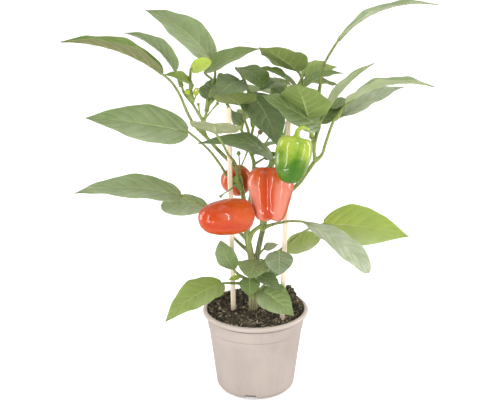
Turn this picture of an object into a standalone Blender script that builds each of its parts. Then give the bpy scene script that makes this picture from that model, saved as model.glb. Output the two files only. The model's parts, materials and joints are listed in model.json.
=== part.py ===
"""Sweet pepper plant in a 13 cm nursery pot, with two split-wood canes and four fruits.

Design values are in millimetres in the plant's own frame: origin at the middle of the pot's
underside, +Z up, the plant's show side towards -Y. Meshes are made in metres.
"""
import math
from collections import namedtuple

import bpy
from mathutils import Matrix, Vector, noise

MM = 0.001
GAP = 0.3

# Pot
RIM_RADIUS = 65.0
POT_HEIGHT = 104.5
FOOT_RADIUS = 47.5
FOOT_ROUND = 10.0
WALL = 2.0
LIP_HEIGHT = 6.0
COLLAR_RADIUS = 60.5
STEP_RADIUS = 58.5
STEP_HEIGHT = 81.5
POT_SIDES = 32
CHANNELS = 4
CHANNEL_WIDTH = 14.5
CHANNEL_HEIGHT = 8.0
CHANNEL_START = 18.0
CHANNEL_TURN = -97.0
CHANNEL_SLOPE = 1.0
DRAIN_RADIUS = 3.5
DRAIN_PLACE = 33.0
DRAIN_SIDES = 10

# Soil
SOIL_LEVEL = 101.0
HEAP_PLACE = (41.0, 27.0)
HEAP_HEIGHT = 17.5
HEAP_SPREAD = 15.0
HEAP_FOOT = 9.0
CRUMB = 1.6
CRUMB_SCALE = 0.11
SOIL_RINGS = 6
SOIL_RISE = 5.0
STEM_HOLE = 7.4
STEM_HOLE_SIDES = 12

# Canes
CANE_WIDTH = 6.0
CANE_DEPTH = 4.0
CANE_CORNER = 1.1
CANE_POINT = 22.0
CANE_TIP_SHARE = 0.25

# Leaves and stems
BLADE = 0.8
STALK_SIDES = 5
STEM_SIDES = 6
STALK_RADIUS = 1.5
RIB_RADIUS = 1.0
BLADE_START = 0.015
BLADE_END = 0.99
TIP_REACH = 0.7
WAVE_TURNS = 2.5
LEFT_WAVE = 2.4
RIGHT_WAVE = 0.9
HEXAGON = (150, 90, 30, -30, -90, -150)
BUD_STALK = (0.9, 0.8)
DRY_STALK = 1.0

# One leaf: where its stalk leaves the stem and passes, its base, its tip, its width, which way
# its upper face looks, how far its halves fold up (degrees), how much its midrib bows towards
# the upper face (share of length), the sideways bow, the height of its edge waves, its turn
# about the midrib from base to tip (degrees), its rows, and its outline
Leaf = namedtuple("Leaf", "stalk base tip width face fold arch sway wave twist rows shape")
# How a leaf widens from its base and narrows to its tip: the usual long tip
LONG_TIP = (0.62, 1.12)


def leaf(stalk, base, tip, width, face, fold=12, arch=0.08, sway=0.0, wave=1.2, twist=0, rows=6,
         shape=LONG_TIP):
    return Leaf(stalk, base, tip, width, face, fold, arch, sway, wave, twist, rows, shape)


# Trunk with its two leaders; the left one carries on as the upper left stem
TRUNK = [(-2, 4, 72), (-2, 4, 97), (-4, 3, 126), (-4, 2, 153), (-6, 1, 175), (-10, 1, 197),
         (-11, 4, 223), (-14, 6, 242), (-18, 8, 264), (-23, 9, 280)]
TRUNK_RADII = [4.0, 6.2, 5.0, 4.8, 4.2, 4.0, 3.4, 3.0, 2.8, 2.6]
RIGHT_LEADER = [(-3, 3, 148), (2, 3, 171), (5, 4, 187), (9, 4, 205), (14, 8, 226)]
LEADER_LINK = [(-9, 1, 190), (-3, 3, 202), (7, 4, 210)]
MIDDLE_STUB = [(-11, 4, 223), (-8, 8, 232), (-6, 10, 244)]
BACK_STUB = [(9, 4, 205), (8, 14, 222), (9, 24, 240)]

MAIN_LEAVES = [
    leaf([(-17, 7, 255), (-26, 9, 261), (-33, 8, 270), (-43, 2, 289), (-56, -3, 308)],
         (-77, -8, 329), (-193, -36, 354), 50, (0.1, -0.7, 0.7), fold=8, arch=0.05),
    leaf([(-9, 1, 192), (-22, 5, 203), (-37, 6, 215), (-64, -6, 239)],
         (-86, -12, 252), (-209, -42, 266), 40, (0.0, -0.5, 0.85), arch=0.10, wave=1.2, rows=7),
    leaf([(-7, 2, 176), (-24, 8, 190), (-43, 11, 212)],
         (-58, 10, 233), (-115, 16, 231), 31, (0.0, -0.6, 0.75), fold=4, arch=0.03, wave=0.6,
         shape=(0.55, 0.5)),
    leaf([(9, 4, 207), (22, -8, 216), (30, -17, 221), (41, -23, 225)],
         (55, -30, 227), (131, -76, 181), 38, (0.35, -0.4, 0.8), fold=8, arch=0.10,
         shape=(0.8, 0.5)),
    leaf([(-3, 3, 155), (13, 7, 162), (27, 8, 174), (48, 8, 193), (66, 7, 205)],
         (80, 5, 211), (182, -24, 206), 54, (0.1, -0.75, 0.65), fold=6, arch=0.10),
    leaf([(-4, 2, 150), (14, 10, 160)],
         (34, 16, 173), (81, 28, 187), 27, (0.1, -0.7, 0.7), fold=8, shape=(0.62, 0.7)),
    leaf([(-4, 1, 134), (-24, -9, 140)],
         (-39, -14, 142), (-107, -56, 110), 46, (-0.25, -0.5, 0.8), fold=10, arch=0.12),
    leaf([(-4, 1, 137), (-20, -9, 151)],
         (-26, -10, 158), (-42, -14, 197), 27, (-0.3, -0.9, 0.2), fold=10,
         shape=(0.75, 0.80)),
    leaf([(-4, 0, 140), (-14, -9, 147)],
         (-19, -12, 149), (-33, -16, 147), 8, (0.0, -0.6, 0.8), rows=4),
    leaf([(-4, 0, 160), (-2, -7, 167)],
         (1, -12, 170), (-6, -46, 162), 36, (0.0, -0.4, 0.9), fold=6, arch=0.14,
         shape=(0.55, 0.62)),
    leaf([(-4, 0, 140), (-5, -8, 146)],
         (-7, -14, 149), (-7, -34, 132), 26, (0.0, -0.7, 0.7), fold=6, arch=0.14),
    leaf([(0, 2, 150), (12, -8, 170), (22, -20, 184)],
         (28, -26, 188), (28, -41, 164), 34, (0.0, -0.85, 0.5), fold=8, arch=0.10,
         shape=(0.50, 0.85)),
    leaf([(-3, 0, 122), (2, -7, 130)],
         (7, -14, 134), (46, -48, 114), 38, (0.1, -0.8, 0.55), fold=8, arch=0.10),
    leaf([(-3, 1, 140), (-1, -4, 148)],
         (4, -10, 150), (30, -32, 139), 22, (0.2, -0.6, 0.75), fold=14, arch=0.14),
    leaf([(0, 3, 164), (6, 8, 173)],
         (10, 10, 177), (28, 16, 181), 12, (0.0, -0.6, 0.8), rows=4),
    leaf([(-17, 8, 262), (-21, -3, 281), (-25, -20, 298), (-31, -41, 312), (-37, -49, 327)],
         (-44, -54, 340), (-46, -107, 366), 58, (0.08, 0.1, 1.0), fold=8, arch=0.06),
    leaf([(-3, 6, 124), (0, 20, 134)],
         (0, 32, 138), (-22, 92, 122), 40, (0.0, 0.2, 1.0), fold=10, arch=0.14),
    leaf([(-3, 5, 116), (10, 16, 126)],
         (14, 26, 130), (20, 88, 116), 38, (0.1, 0.2, 1.0), fold=10, arch=0.14),
]

# Upper left stem
LEFT_STEM = [(-31, 10, 289), (-39, 11, 297), (-52, 12, 311), (-60, 13, 322), (-62, 14, 340)]
LEFT_FORK = [(-61, 14, 336), (-69, 13, 350), (-74, 12, 359), (-83, 10, 371), (-86, 9, 382)]
LEFT_SPUR = [(-61, 14, 336), (-58, 17, 347), (-57, 21, 357)]

LEFT_LEAVES = [
    leaf([(-58, 17, 348), (-53, 34, 368), (-48, 42, 386)],
         (-50, 45, 402), (-131, 70, 459), 46, (0.35, -0.6, 0.7), fold=14, arch=0.12),
    leaf([(-86, 9, 380)],
         (-92, 8, 398), (-152, 30, 439), 30, (0.3, -0.3, 0.9), fold=34, arch=0.12),
    leaf([(-59, 13, 320), (-72, 6, 335), (-80, 2, 352), (-87, -1, 371), (-96, -3, 387)],
         (-106, -5, 397), (-217, -30, 440), 42, (0.2, 0.0, 1.0), fold=42, arch=0.085, rows=7),
    leaf([(-74, 12, 361), (-76, 10, 382)],
         (-75, 8, 400), (-50, -2, 412), 17, (0.3, -0.8, 0.5), shape=(0.5, 0.55), rows=5),
    leaf([(-57, 20, 352)],
         (-57, 23, 361), (-44, 48, 382), 30, (-0.5, -0.7, 0.5)),
    leaf([(-57, 21, 355), (-38, 32, 371)],
         (-17, 33, 381), (-45, 0, 371), 42, (0.2, -0.35, 0.9), fold=8, arch=0.12),
    leaf([(-82, 10, 371), (-75, 9, 377)],
         (-73, 8, 382), (-104, -4, 397), 24, (-0.2, -0.4, 0.9), fold=16, rows=5),
]

# Middle stem, behind the fruits
MIDDLE_STEM = [(-5, 12, 262), (-2, 18, 284), (-8, 26, 300), (-14, 28, 315), (-20, 28, 330)]
MIDDLE_SPUR = [(-7, 25, 297), (-4, 34, 318), (2, 38, 345)]

MIDDLE_LEAVES = [
    leaf([(-8, 26, 300), (-8, 24, 320), (-13, 14, 340)],
         (-15, 6, 357), (-40, -36, 381), 54, (0.25, 0.8, 0.55), fold=10, arch=0.06),
    leaf([(-3, 35, 325), (-6, 34, 352)],
         (-6, 28, 368), (26, -22, 316), 54, (0.35, -0.6, 0.7), fold=8, arch=0.10),
    leaf([(-2, 17, 277), (12, 19, 277)],
         (22, 17, 287), (-66, -36, 324), 34, (0.1, -0.7, 0.75), fold=8, arch=0.20, twist=30,
         shape=(0.85, 1.12)),
    leaf([(-2, 18, 283), (4, 22, 285)],
         (10, 22, 289), (27, 20, 296), 11, (0.0, -0.7, 0.7), rows=4),
    leaf([(-18, 29, 324)],
         (-15, 28, 331), (-28, 26, 347), 18, (-0.5, -0.8, 0.3), rows=5),
    leaf([(-18, 29, 325), (-34, 44, 350), (-46, 54, 372), (-58, 47, 385)],
         (-60, 31, 392), (5, 32, 420), 26, (-0.2, -0.6, 0.8), fold=16, arch=0.10, rows=7),
    leaf([(1, 37, 340), (-14, 48, 380)],
         (-23, 48, 393), (11, 18, 377), 34, (0.3, -0.5, 0.8), fold=10, arch=0.16, shape=(0.85, 0.5)),
]

# Right stem
RIGHT_STEM = [(34, 8, 245), (51, 6, 262), (62, 0, 280), (71, -8, 297)]
RIGHT_FORK_A = [(70, -7, 294), (68, -11, 310), (65, -14, 330)]
RIGHT_FORK_B = [(70, -7, 294), (78, -8, 303), (82, -6, 316), (90, -4, 340), (97, -2, 350)]
RIGHT_SPUR = [(68, -11, 308), (71, -6, 330), (73, 8, 352), (73, 16, 366)]

RIGHT_LEAVES = [
    leaf([(68, -12, 318), (72, -16, 332)],
         (74, -17, 338), (7, -34, 380), 44, (0.3, -0.6, 0.75), fold=10, arch=0.04),
    leaf([(72, -2, 340)],
         (72, 8, 336), (108, 26, 354), 26, (0.0, -0.5, 0.9)),
    leaf([(65, -14, 324), (64, -16, 337)],
         (61, -18, 348), (44, -60, 399), 60, (0.3, 0.85, 0.4), fold=10, arch=0.06),
    leaf([(71, -8, 330), (76, -2, 340)],
         (80, -1, 348), (134, -20, 414), 26, (-0.5, 0.1, 0.8), fold=44, arch=0.06),
    leaf([(95, -3, 346)],
         (104, -2, 361), (201, -34, 390), 28, (-0.1, 0.05, 1.0), fold=40, arch=0.12, wave=2.0),
    leaf([(92, -3, 344)],
         (98, 6, 344), (176, 34, 374), 34, (-0.2, -0.35, 0.9), fold=14, arch=0.06),
    leaf([(73, 10, 352)],
         (85, 16, 353), (112, 30, 359), 18, (0.0, -0.5, 0.9), rows=5),
    leaf([(73, 16, 364), (76, 18, 381), (77, 20, 392), (82, 21, 408)],
         (95, 22, 430), (207, 4, 476), 20, (-0.3, -0.1, 0.9), fold=34, arch=0.14, wave=2.4, rows=7),
]

# Back stem, hidden behind the fruits in the front view
BACK_STEM = [(16, 34, 266), (32, 42, 300), (40, 46, 335), (46, 46, 362)]

BACK_LEAVES = [
    leaf([(42, 46, 345), (54, 38, 366), (56, 31, 380)],
         (51, 27, 393), (4, -12, 430), 56, (0.25, 0.6, 0.8), fold=12, arch=0.05),
    leaf([(45, 46, 356), (53, 30, 368)],
         (49, 24, 376), (4, 0, 404), 32, (0.0, -0.25, 1.0), fold=16, arch=0.06),
    leaf([(46, 46, 360)],
         (57, 60, 381), (85, 86, 394), 22, (0.0, -0.4, 0.9), rows=5),
    leaf([(46, 46, 361)],
         (60, 52, 379), (99, 72, 390), 24, (0.0, -0.4, 0.9), fold=16, rows=5),
    leaf([(46, 46, 359)],
         (58, 42, 374), (104, 46, 388), 24, (-0.1, -0.2, 1.0), fold=20),
    leaf([(44, 46, 352), (58, 62, 366)],
         (68, 62, 374), (102, 44, 371), 28, (0.0, 0.5, 0.8), fold=6),
    leaf([(44, 46, 350)],
         (33, 44, 378), (4, 22, 372), 22, (0.0, -0.4, 0.9), fold=12),
    leaf([(43, 46, 348), (42, 56, 368)],
         (37, 58, 376), (20, 40, 358), 26, (0.2, -0.5, 0.8), fold=8),
    leaf([(34, 43, 308), (26, 66, 320)],
         (18, 82, 322), (-24, 150, 296), 52, (0.0, 0.3, 1.0), fold=10, arch=0.14),
    leaf([(38, 46, 325), (52, 66, 338)],
         (60, 80, 340), (92, 146, 312), 50, (0.1, 0.3, 1.0), fold=12, arch=0.14),
    leaf([(41, 46, 340), (30, 70, 352)],
         (22, 86, 352), (-6, 158, 334), 48, (0.0, 0.3, 1.0), fold=10, arch=0.12),
    leaf([(22, 37, 280), (14, 56, 288)],
         (8, 68, 288), (-6, 128, 262), 44, (0.0, 0.3, 1.0), fold=10, arch=0.14),
]

# Half outline of a fruit: share of the radius, share of the length from the blossom end
BELL = [(0.0, 0.09), (0.22, 0.05), (0.45, 0.0), (0.68, 0.04), (0.82, 0.17), (0.92, 0.40),
        (1.0, 0.68), (0.94, 0.85), (0.76, 0.965), (0.50, 1.0), (0.26, 0.94), (0.0, 0.91)]
EGG = [(0.0, 0.0), (0.25, 0.01), (0.50, 0.05), (0.72, 0.14), (0.87, 0.28), (0.96, 0.45),
       (1.0, 0.66), (0.95, 0.86), (0.80, 0.97), (0.54, 1.0), (0.28, 0.93), (0.0, 0.90)]

# Fruits: stem end, blossom end, largest radius, lobes, turn about the axis (degrees), furrows,
# how much it narrows to its blossom end, and its outline
Fruit = namedtuple("Fruit", "name stem_end blossom_end radius lobes turn furrow taper outline")
RED_FRONT = Fruit("fruit_red_front", (-9, -37, 239), (-62, -75, 245), 21.4, 3, 20, 0.05, 0.0,
                  EGG)
RED_CENTRE = Fruit("fruit_red_centre", (18, -16, 288), (17, -40, 231), 30.2, 4, 36, 0.13, 0.20,
                   BELL)
RED_BACK = Fruit("fruit_red_back", (-21, 18, 262), (-28, 72, 246), 20.0, 3, 60, 0.12, 0.1,
                 BELL)
GREEN = Fruit("fruit_green", (46, -53, 336), (36, -67, 286), 21.6, 3, 75, 0.08, 0.10,
              EGG)

FRUIT_SIDES = 18
WAIST = 0.55
END_FURROW = 1.5
FOOT_SHARE = 0.3
FOOT_NOTCH = 0.8
SEAT_SHARE = 0.915

PEDUNCLE = 2.6
PEDUNCLE_FLARE = 1.2
CALYX_RADIUS = 10.0
CALYX_SHOULDER = 8.6
CALYX_HEIGHT = 7.0
CALYX_DISC = 2.6
CALYX_SINK = 0.4
CALYX_SIDES = 8


def plain_material(name, colour, roughness):
    """Principled material with one colour and roughness."""
    material = bpy.data.materials.new(name)
    material.use_nodes = True
    shader = material.node_tree.nodes["Principled BSDF"]
    shader.inputs["Base Color"].default_value = (*colour, 1.0)
    shader.inputs["Roughness"].default_value = roughness
    shader.inputs["Metallic"].default_value = 0.0
    return material


def make_object(name, points, faces, material=None):
    """New object from points in millimetres."""
    mesh = bpy.data.meshes.new(name)
    mesh.from_pydata([Vector(point) * MM for point in points], [], faces)
    mesh.update()
    if material:
        mesh.materials.append(material)
    obj = bpy.data.objects.new(name, mesh)
    bpy.context.scene.collection.objects.link(obj)
    return obj


def combine(host, operation, operands, solver="EXACT"):
    """Join the operands to the host, or cut them from it, and remove them."""
    group = bpy.data.collections.new("operands")
    bpy.context.scene.collection.children.link(group)
    for obj in operands:
        group.objects.link(obj)
        bpy.context.scene.collection.objects.unlink(obj)
    step = host.modifiers.new("combine", "BOOLEAN")
    step.operation = operation
    step.operand_type = "COLLECTION"
    step.collection = group
    step.solver = solver
    depsgraph = bpy.context.evaluated_depsgraph_get()
    result = bpy.data.meshes.new_from_object(host.evaluated_get(depsgraph), depsgraph=depsgraph)
    host.modifiers.clear()
    host.data = result
    result.name = host.name
    for obj in operands:
        bpy.data.objects.remove(obj)
    bpy.data.collections.remove(group)
    return host


def smooth_path(points, spans=2):
    """Catmull-Rom curve through the points, with the given steps in each span."""
    knots = [Vector(point) for point in points]
    if len(knots) < 3:
        return knots
    ends = [2 * knots[0] - knots[1]] + knots + [2 * knots[-1] - knots[-2]]
    path = []
    for a, b, c, d in zip(ends, ends[1:], ends[2:], ends[3:]):
        for step in range(spans):
            t = step / spans
            path.append(0.5 * (2 * b + (c - a) * t + (2 * a - 5 * b + 4 * c - d) * t * t
                               + (3 * b - a - 3 * c + d) * t ** 3))
    path.append(knots[-1])
    return path


def spread(values, count):
    """The values, read evenly at count places along their list."""
    result = []
    for i in range(count):
        place = i * (len(values) - 1) / (count - 1)
        low = min(int(place), len(values) - 2)
        result.append(values[low] + (values[low + 1] - values[low]) * (place - low))
    return result


def tube(name, path, radii, sides, material=None):
    """Round stem along the path with flat ends; one radius for each point."""
    path = [Vector(point) for point in path]
    tangents = []
    for i in range(len(path)):
        tangents.append((path[min(i + 1, len(path) - 1)] - path[max(i - 1, 0)]).normalized())
    across = tangents[0].orthogonal().normalized()
    points = []
    for centre, tangent, radius in zip(path, tangents, radii):
        across = (across - tangent * across.dot(tangent)).normalized()
        other = tangent.cross(across)
        for k in range(sides):
            angle = math.tau * k / sides
            points.append(centre + (across * math.cos(angle) + other * math.sin(angle)) * radius)
    faces = [tuple(reversed(range(sides)))]
    for ring in range(len(path) - 1):
        for k in range(sides):
            a = ring * sides + k
            b = ring * sides + (k + 1) % sides
            faces.append((a, b, b + sides, a + sides))
    last = (len(path) - 1) * sides
    faces.append(tuple(range(last, last + sides)))
    return make_object(name, points, faces, material)


def stem(name, points, radii, sides=STEM_SIDES, spans=1, material=None):
    """Smooth stem through the points, its radius read from a short list."""
    path = smooth_path(points, spans)
    return tube(name, path, spread(radii, len(path)), sides, material)


def half_width(share, shape):
    """Half width of a pepper leaf along its length, 1 at its widest."""
    rise, fall = shape
    peak = rise / (rise + fall)
    shape = share ** rise * (1 - share) ** fall
    return shape / (peak ** rise * (1 - peak) ** fall)


def midrib(one, share):
    """Point on the leaf's midrib, with its tangent, its upward and its sideways direction."""
    base = Vector(one.base)
    chord = Vector(one.tip) - base
    up = Vector(one.face)
    up = (up - chord * (up.dot(chord) / chord.length_squared)).normalized()
    side = chord.normalized().cross(up)
    turned_up = Matrix.Rotation(math.radians(one.twist) * share, 3, chord) @ up
    bow = 4 * share * (1 - share)
    slope = 4 - 8 * share
    point = base + chord * share + (up * one.arch + side * one.sway) * chord.length * bow
    tangent = (chord + (up * one.arch + side * one.sway) * chord.length * slope).normalized()
    upward = (turned_up - tangent * turned_up.dot(tangent)).normalized()
    return point, tangent, upward, tangent.cross(upward)


def blade_ring(one, share):
    """Six corners of the blade across its length: folded, waved at its edges, ribbed below."""
    point, _, upward, side = midrib(one, share)
    fold = math.radians(one.fold)
    reach = max(one.width / 2 * half_width(share, one.shape), TIP_REACH)
    top = []
    for across, phase in ((-1, LEFT_WAVE), (0, 0.0), (1, RIGHT_WAVE)):
        wave = one.wave * math.sin(math.tau * WAVE_TURNS * share + phase) * min(1, 4 - 4 * share)
        lift = abs(across) * (reach * math.sin(fold) + wave)
        top.append(point + side * across * reach * math.cos(fold) + upward * lift)
    rib = BLADE + RIB_RADIUS * (1 - share)
    left_down = (upward * math.cos(fold) + side * math.sin(fold)) * BLADE
    right_down = (upward * math.cos(fold) - side * math.sin(fold)) * BLADE
    return top + [top[2] - right_down, top[1] - upward * rib, top[0] - left_down]


def leaf_solid(name, one):
    """A leaf as one body: six-sided stalk that flattens into the blade and its midrib."""
    path = smooth_path(list(one.stalk) + [one.base], 2 if len(one.stalk) == 2 else 1)
    _, tangent, upward, _ = midrib(one, 0.0)
    rings = []
    for number in range(len(path) - 2, -1, -1):
        radius = STALK_RADIUS + (RIB_RADIUS - STALK_RADIUS) * number / len(path)
        tangent = (path[number + 1] - path[max(number - 1, 0)]).normalized()
        upward = (upward - tangent * upward.dot(tangent)).normalized()
        side = tangent.cross(upward)
        ring = []
        for degrees in HEXAGON:
            angle = math.radians(degrees)
            ring.append(path[number] + (side * math.cos(angle) + upward * math.sin(angle)) * radius)
        rings.insert(0, ring)
    rings += [blade_ring(one, BLADE_START + (BLADE_END - BLADE_START) * row / one.rows)
              for row in range(one.rows + 1)]
    count = len(HEXAGON)
    faces = [tuple(reversed(range(count)))]
    for ring in range(len(rings) - 1):
        for k in range(count):
            a, b = ring * count + k, ring * count + (k + 1) % count
            c, d = b + count, a + count
            faces += [(a, b, d), (b, c, d)] if k in (3, 4) else [(a, b, c), (a, c, d)]
    last = (len(rings) - 1) * count
    faces.append(tuple(range(last, last + count)))
    return make_object(name, [point for ring in rings for point in ring], faces)


def round_faces(rings, sides):
    """Faces of a closed round form: a first point, rings of points, and a last point."""
    faces = []
    top = rings * sides + 1
    for k in range(sides):
        after = (k + 1) % sides
        faces.append((0, 1 + after, 1 + k))
        for ring in range(rings - 1):
            a, b = 1 + ring * sides + k, 1 + ring * sides + after
            faces += [(a, b, b + sides), (a, b + sides, a + sides)]
        faces.append((top - sides + k, top - sides + after, top))
    return faces


def ball(name, centre, radius, squash=1.0):
    """Small round bud or bead."""
    rings, sides = 4, 7
    points = [Vector(centre) + Vector((0, 0, -radius * squash))]
    for ring in range(1, rings):
        angle = math.pi * ring / rings
        for k in range(sides):
            turn = math.tau * k / sides
            points.append(Vector(centre) + Vector((
                radius * math.sin(angle) * math.cos(turn),
                radius * math.sin(angle) * math.sin(turn),
                -radius * squash * math.cos(angle))))
    points.append(Vector(centre) + Vector((0, 0, radius * squash)))
    return make_object(name, points, round_faces(rings - 1, sides))


def bud(name, route, radius, squash=1.0):
    """Bud, bead or withered flower at the end of its own thin stalk."""
    stalk = stem(name + "_stalk", route, BUD_STALK, STALK_SIDES)
    return [stalk, ball(name, route[-1], radius, squash)]


def grown_on(stub, route, lead=3.0):
    """Route of a stem that starts face to face with the end of a stub."""
    end = Vector(stub[-1])
    along = (end - Vector(stub[-2])).normalized()
    return [end + along * GAP, end + along * (GAP + lead)] + list(route)


def leafy_stem(name, stems, leaves, extras, material):
    """One body of stems, leaf stalks, blades and the small things that grow on them."""
    operands = [leaf_solid(f"{name}_leaf_{number}", one) for number, one in enumerate(leaves)]
    host = combine(stems[0], "UNION", stems[1:] + operands + extras, "MANIFOLD")
    host.name = name
    host.data.materials.clear()
    host.data.materials.append(material)
    return host


def turned(name, profile, sides, material=None):
    """Solid of revolution from a closed profile of radius and height, anticlockwise."""
    points = []
    rings = []
    for radius, height in profile:
        if radius == 0:
            rings.append([len(points)] * sides)
            points.append((0, 0, height))
            continue
        rings.append(list(range(len(points), len(points) + sides)))
        for k in range(sides):
            angle = math.tau * k / sides
            points.append((radius * math.cos(angle), radius * math.sin(angle), height))
    faces = []
    for low, high in zip(rings, rings[1:] + rings[:1]):
        for k in range(sides):
            after = (k + 1) % sides
            corners = (low[k], low[after], high[after], high[k])
            face = tuple(dict.fromkeys(corners))
            if len(face) > 2:
                faces.append(face)
    return make_object(name, points, faces, material)


def arc(centre, radius, start, end, steps):
    """Points on an arc in the profile plane, angles in degrees."""
    result = []
    for i in range(steps + 1):
        angle = math.radians(start + (end - start) * i / steps)
        result.append((centre[0] + radius * math.cos(angle), centre[1] + radius * math.sin(angle)))
    return result


def wall_radius(height):
    """Outer radius of the pot's body below the step."""
    share = (height - FOOT_ROUND) / (STEP_HEIGHT - FOOT_ROUND)
    return FOOT_RADIUS + 1 + (STEP_RADIUS - 1 - FOOT_RADIUS - 1) * share


def pot_outline():
    """Outer side of the pot, from the middle of the underside up over the lip."""
    lip = LIP_HEIGHT / 2
    outline = [(0, 0)]
    outline += arc((FOOT_RADIUS - FOOT_ROUND + 1, FOOT_ROUND), FOOT_ROUND, -90, -4, 3)
    outline += [(wall_radius(STEP_HEIGHT), STEP_HEIGHT)]
    outline += [(STEP_RADIUS, STEP_HEIGHT + 1), (COLLAR_RADIUS, POT_HEIGHT - LIP_HEIGHT)]
    outline += arc((RIM_RADIUS - lip, POT_HEIGHT - lip), lip, -70, 90, 4)
    return outline


def cavity_outline(inset):
    """Inside of the pot, drawn in by a clearance for the soil."""
    floor = WALL + inset
    lip = LIP_HEIGHT / 2
    outline = [(0, floor)]
    outline += arc((FOOT_RADIUS - FOOT_ROUND + 1, FOOT_ROUND), FOOT_ROUND - floor, -90, -4, 3)
    outline += [(wall_radius(STEP_HEIGHT) - floor, STEP_HEIGHT)]
    outline += [(COLLAR_RADIUS - floor, POT_HEIGHT - LIP_HEIGHT)]
    outline += [(RIM_RADIUS - lip - inset, POT_HEIGHT - lip)]
    return outline


def channel_angle(number):
    """Direction of one drainage channel, seen from above."""
    return math.tau * number / CHANNELS + math.radians(CHANNEL_TURN)


def channel_cutters(grow):
    """Radial drainage channels under the pot, as bars with sloping sides."""
    bars = []
    half = CHANNEL_WIDTH / 2 + grow
    roof = CHANNEL_HEIGHT + grow
    for number in range(CHANNELS):
        turn = Matrix.Rotation(channel_angle(number), 3, "Z")
        wide, narrow = half + CHANNEL_SLOPE, half - CHANNEL_SLOPE
        points = []
        for reach in (CHANNEL_START - grow, RIM_RADIUS):
            for across, height in ((-wide, -1), (wide, -1), (narrow, roof), (-narrow, roof)):
                points.append(turn @ Vector((reach, across, height)))
        faces = [(0, 3, 2, 1), (4, 5, 6, 7), (0, 1, 5, 4), (1, 2, 6, 5), (2, 3, 7, 6), (3, 0, 4, 7)]
        bars.append(make_object(f"channel_{number}", points, faces))
    return bars


def drain_cutters():
    """Round drainage holes through the channels' roofs."""
    holes = []
    for number in range(CHANNELS):
        angle = channel_angle(number)
        x, y = DRAIN_PLACE * math.cos(angle), DRAIN_PLACE * math.sin(angle)
        path = [(x, y, CHANNEL_HEIGHT - WALL), (x, y, CHANNEL_HEIGHT + 3 * WALL)]
        holes.append(tube(f"drain_{number}", path, [DRAIN_RADIUS] * 2, DRAIN_SIDES))
    return holes


def make_pot(material):
    """Thin-walled nursery pot with a rolled lip, a step, and drainage channels underneath."""
    above = POT_HEIGHT + WALL
    mouth = [(RIM_RADIUS - LIP_HEIGHT, above), (0, above)]
    cavity = turned("cavity", cavity_outline(0) + mouth, POT_SIDES)
    combine(cavity, "DIFFERENCE", channel_cutters(WALL))
    pot = turned("pot", pot_outline() + [(0, POT_HEIGHT)], POT_SIDES, material)
    combine(pot, "DIFFERENCE", [cavity] + channel_cutters(0) + drain_cutters())
    return pot


def soil_height(x, y):
    """Height of the soil: level with crumbs, and a heap at the back on the right."""
    away = math.hypot(x - HEAP_PLACE[0], y - HEAP_PLACE[1])
    inward = (COLLAR_RADIUS + WALL - math.hypot(x, y)) / HEAP_FOOT
    heap = HEAP_HEIGHT * math.exp(-(away / HEAP_SPREAD) ** 2) * max(0.0, min(1.0, inward))
    crumbs = CRUMB * noise.noise(Vector((x, y, 0)) * CRUMB_SCALE)
    return SOIL_LEVEL + heap + crumbs + SOIL_RISE * y / RIM_RADIUS


def soil_wall(height):
    """Radius of the soil against the pot's inner wall at a height."""
    outline = [(r, z) for r, z in cavity_outline(GAP) if r]
    for (r0, z0), (r1, z1) in zip(outline, outline[1:]):
        if height <= z1:
            return r0 + (r1 - r0) * (height - z0) / (z1 - z0)
    return outline[-1][0]


def make_soil(material, cutters):
    """Soil filling the pot, with a crumbly top and plain holes for the stem and the canes."""
    outline = cavity_outline(GAP)
    collar = POT_HEIGHT - LIP_HEIGHT
    turns = [(math.cos(math.tau * k / POT_SIDES), math.sin(math.tau * k / POT_SIDES))
             for k in range(POT_SIDES)]
    rings = [[(x * r, y * r, z) for x, y in turns] for r, z in outline[1:] if z <= STEP_HEIGHT]
    rim, shoulder = [], []
    for x, y in turns:
        height = soil_height(x * COLLAR_RADIUS, y * COLLAR_RADIUS)
        lower = min(height - 1, collar)
        rim.append((min(soil_wall(height), COLLAR_RADIUS) - 3 * GAP, height))
        shoulder.append((x * soil_wall(lower), y * soil_wall(lower), lower))
    rings.append(shoulder)
    rings.append([(x * reach, y * reach, height) for (x, y), (reach, height) in zip(turns, rim)])
    for ring in range(SOIL_RINGS - 1, 0, -1):
        line = []
        for (x, y), (limit, _) in zip(turns, rim):
            reach = limit * ring / SOIL_RINGS
            line.append((x * reach, y * reach, soil_height(x * reach, y * reach)))
        rings.append(line)
    points = [(0, 0, outline[0][1])] + [point for line in rings for point in line]
    points.append((0, 0, soil_height(0, 0)))
    soil = make_object("soil", points, round_faces(len(rings), POT_SIDES), material)
    combine(soil, "DIFFERENCE", channel_cutters(WALL + GAP) + cutters)
    return soil


def cane(name, foot, top, grow=0.0, material=None):
    """Split-wood cane: a slat with broken corners and a pointed lower end."""
    foot, top = Vector(foot), Vector(top)
    along = (top - foot).normalized()
    across = (Vector((1, 0, 0)) - along * along.x).normalized()
    other = along.cross(across)
    wide, deep = CANE_WIDTH / 2 + grow, CANE_DEPTH / 2 + grow
    c = CANE_CORNER
    section = [(wide, -deep + c), (wide, deep - c), (wide - c, deep), (c - wide, deep),
               (-wide, deep - c), (-wide, c - deep), (c - wide, -deep), (wide - c, -deep)]
    points = []
    for place, share in ((foot - along * grow, CANE_TIP_SHARE), (foot + along * CANE_POINT, 1.0),
                         (top, 1.0)):
        for u, v in section:
            points.append(place + across * u * share + other * v * share)
    sides = len(section)
    faces = [tuple(reversed(range(sides)))]
    for ring in range(2):
        for k in range(sides):
            a, b = ring * sides + k, ring * sides + (k + 1) % sides
            faces.append((a, b, b + sides, a + sides))
    faces.append(tuple(range(2 * sides, 3 * sides)))
    return make_object(name, points, faces, material)


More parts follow.
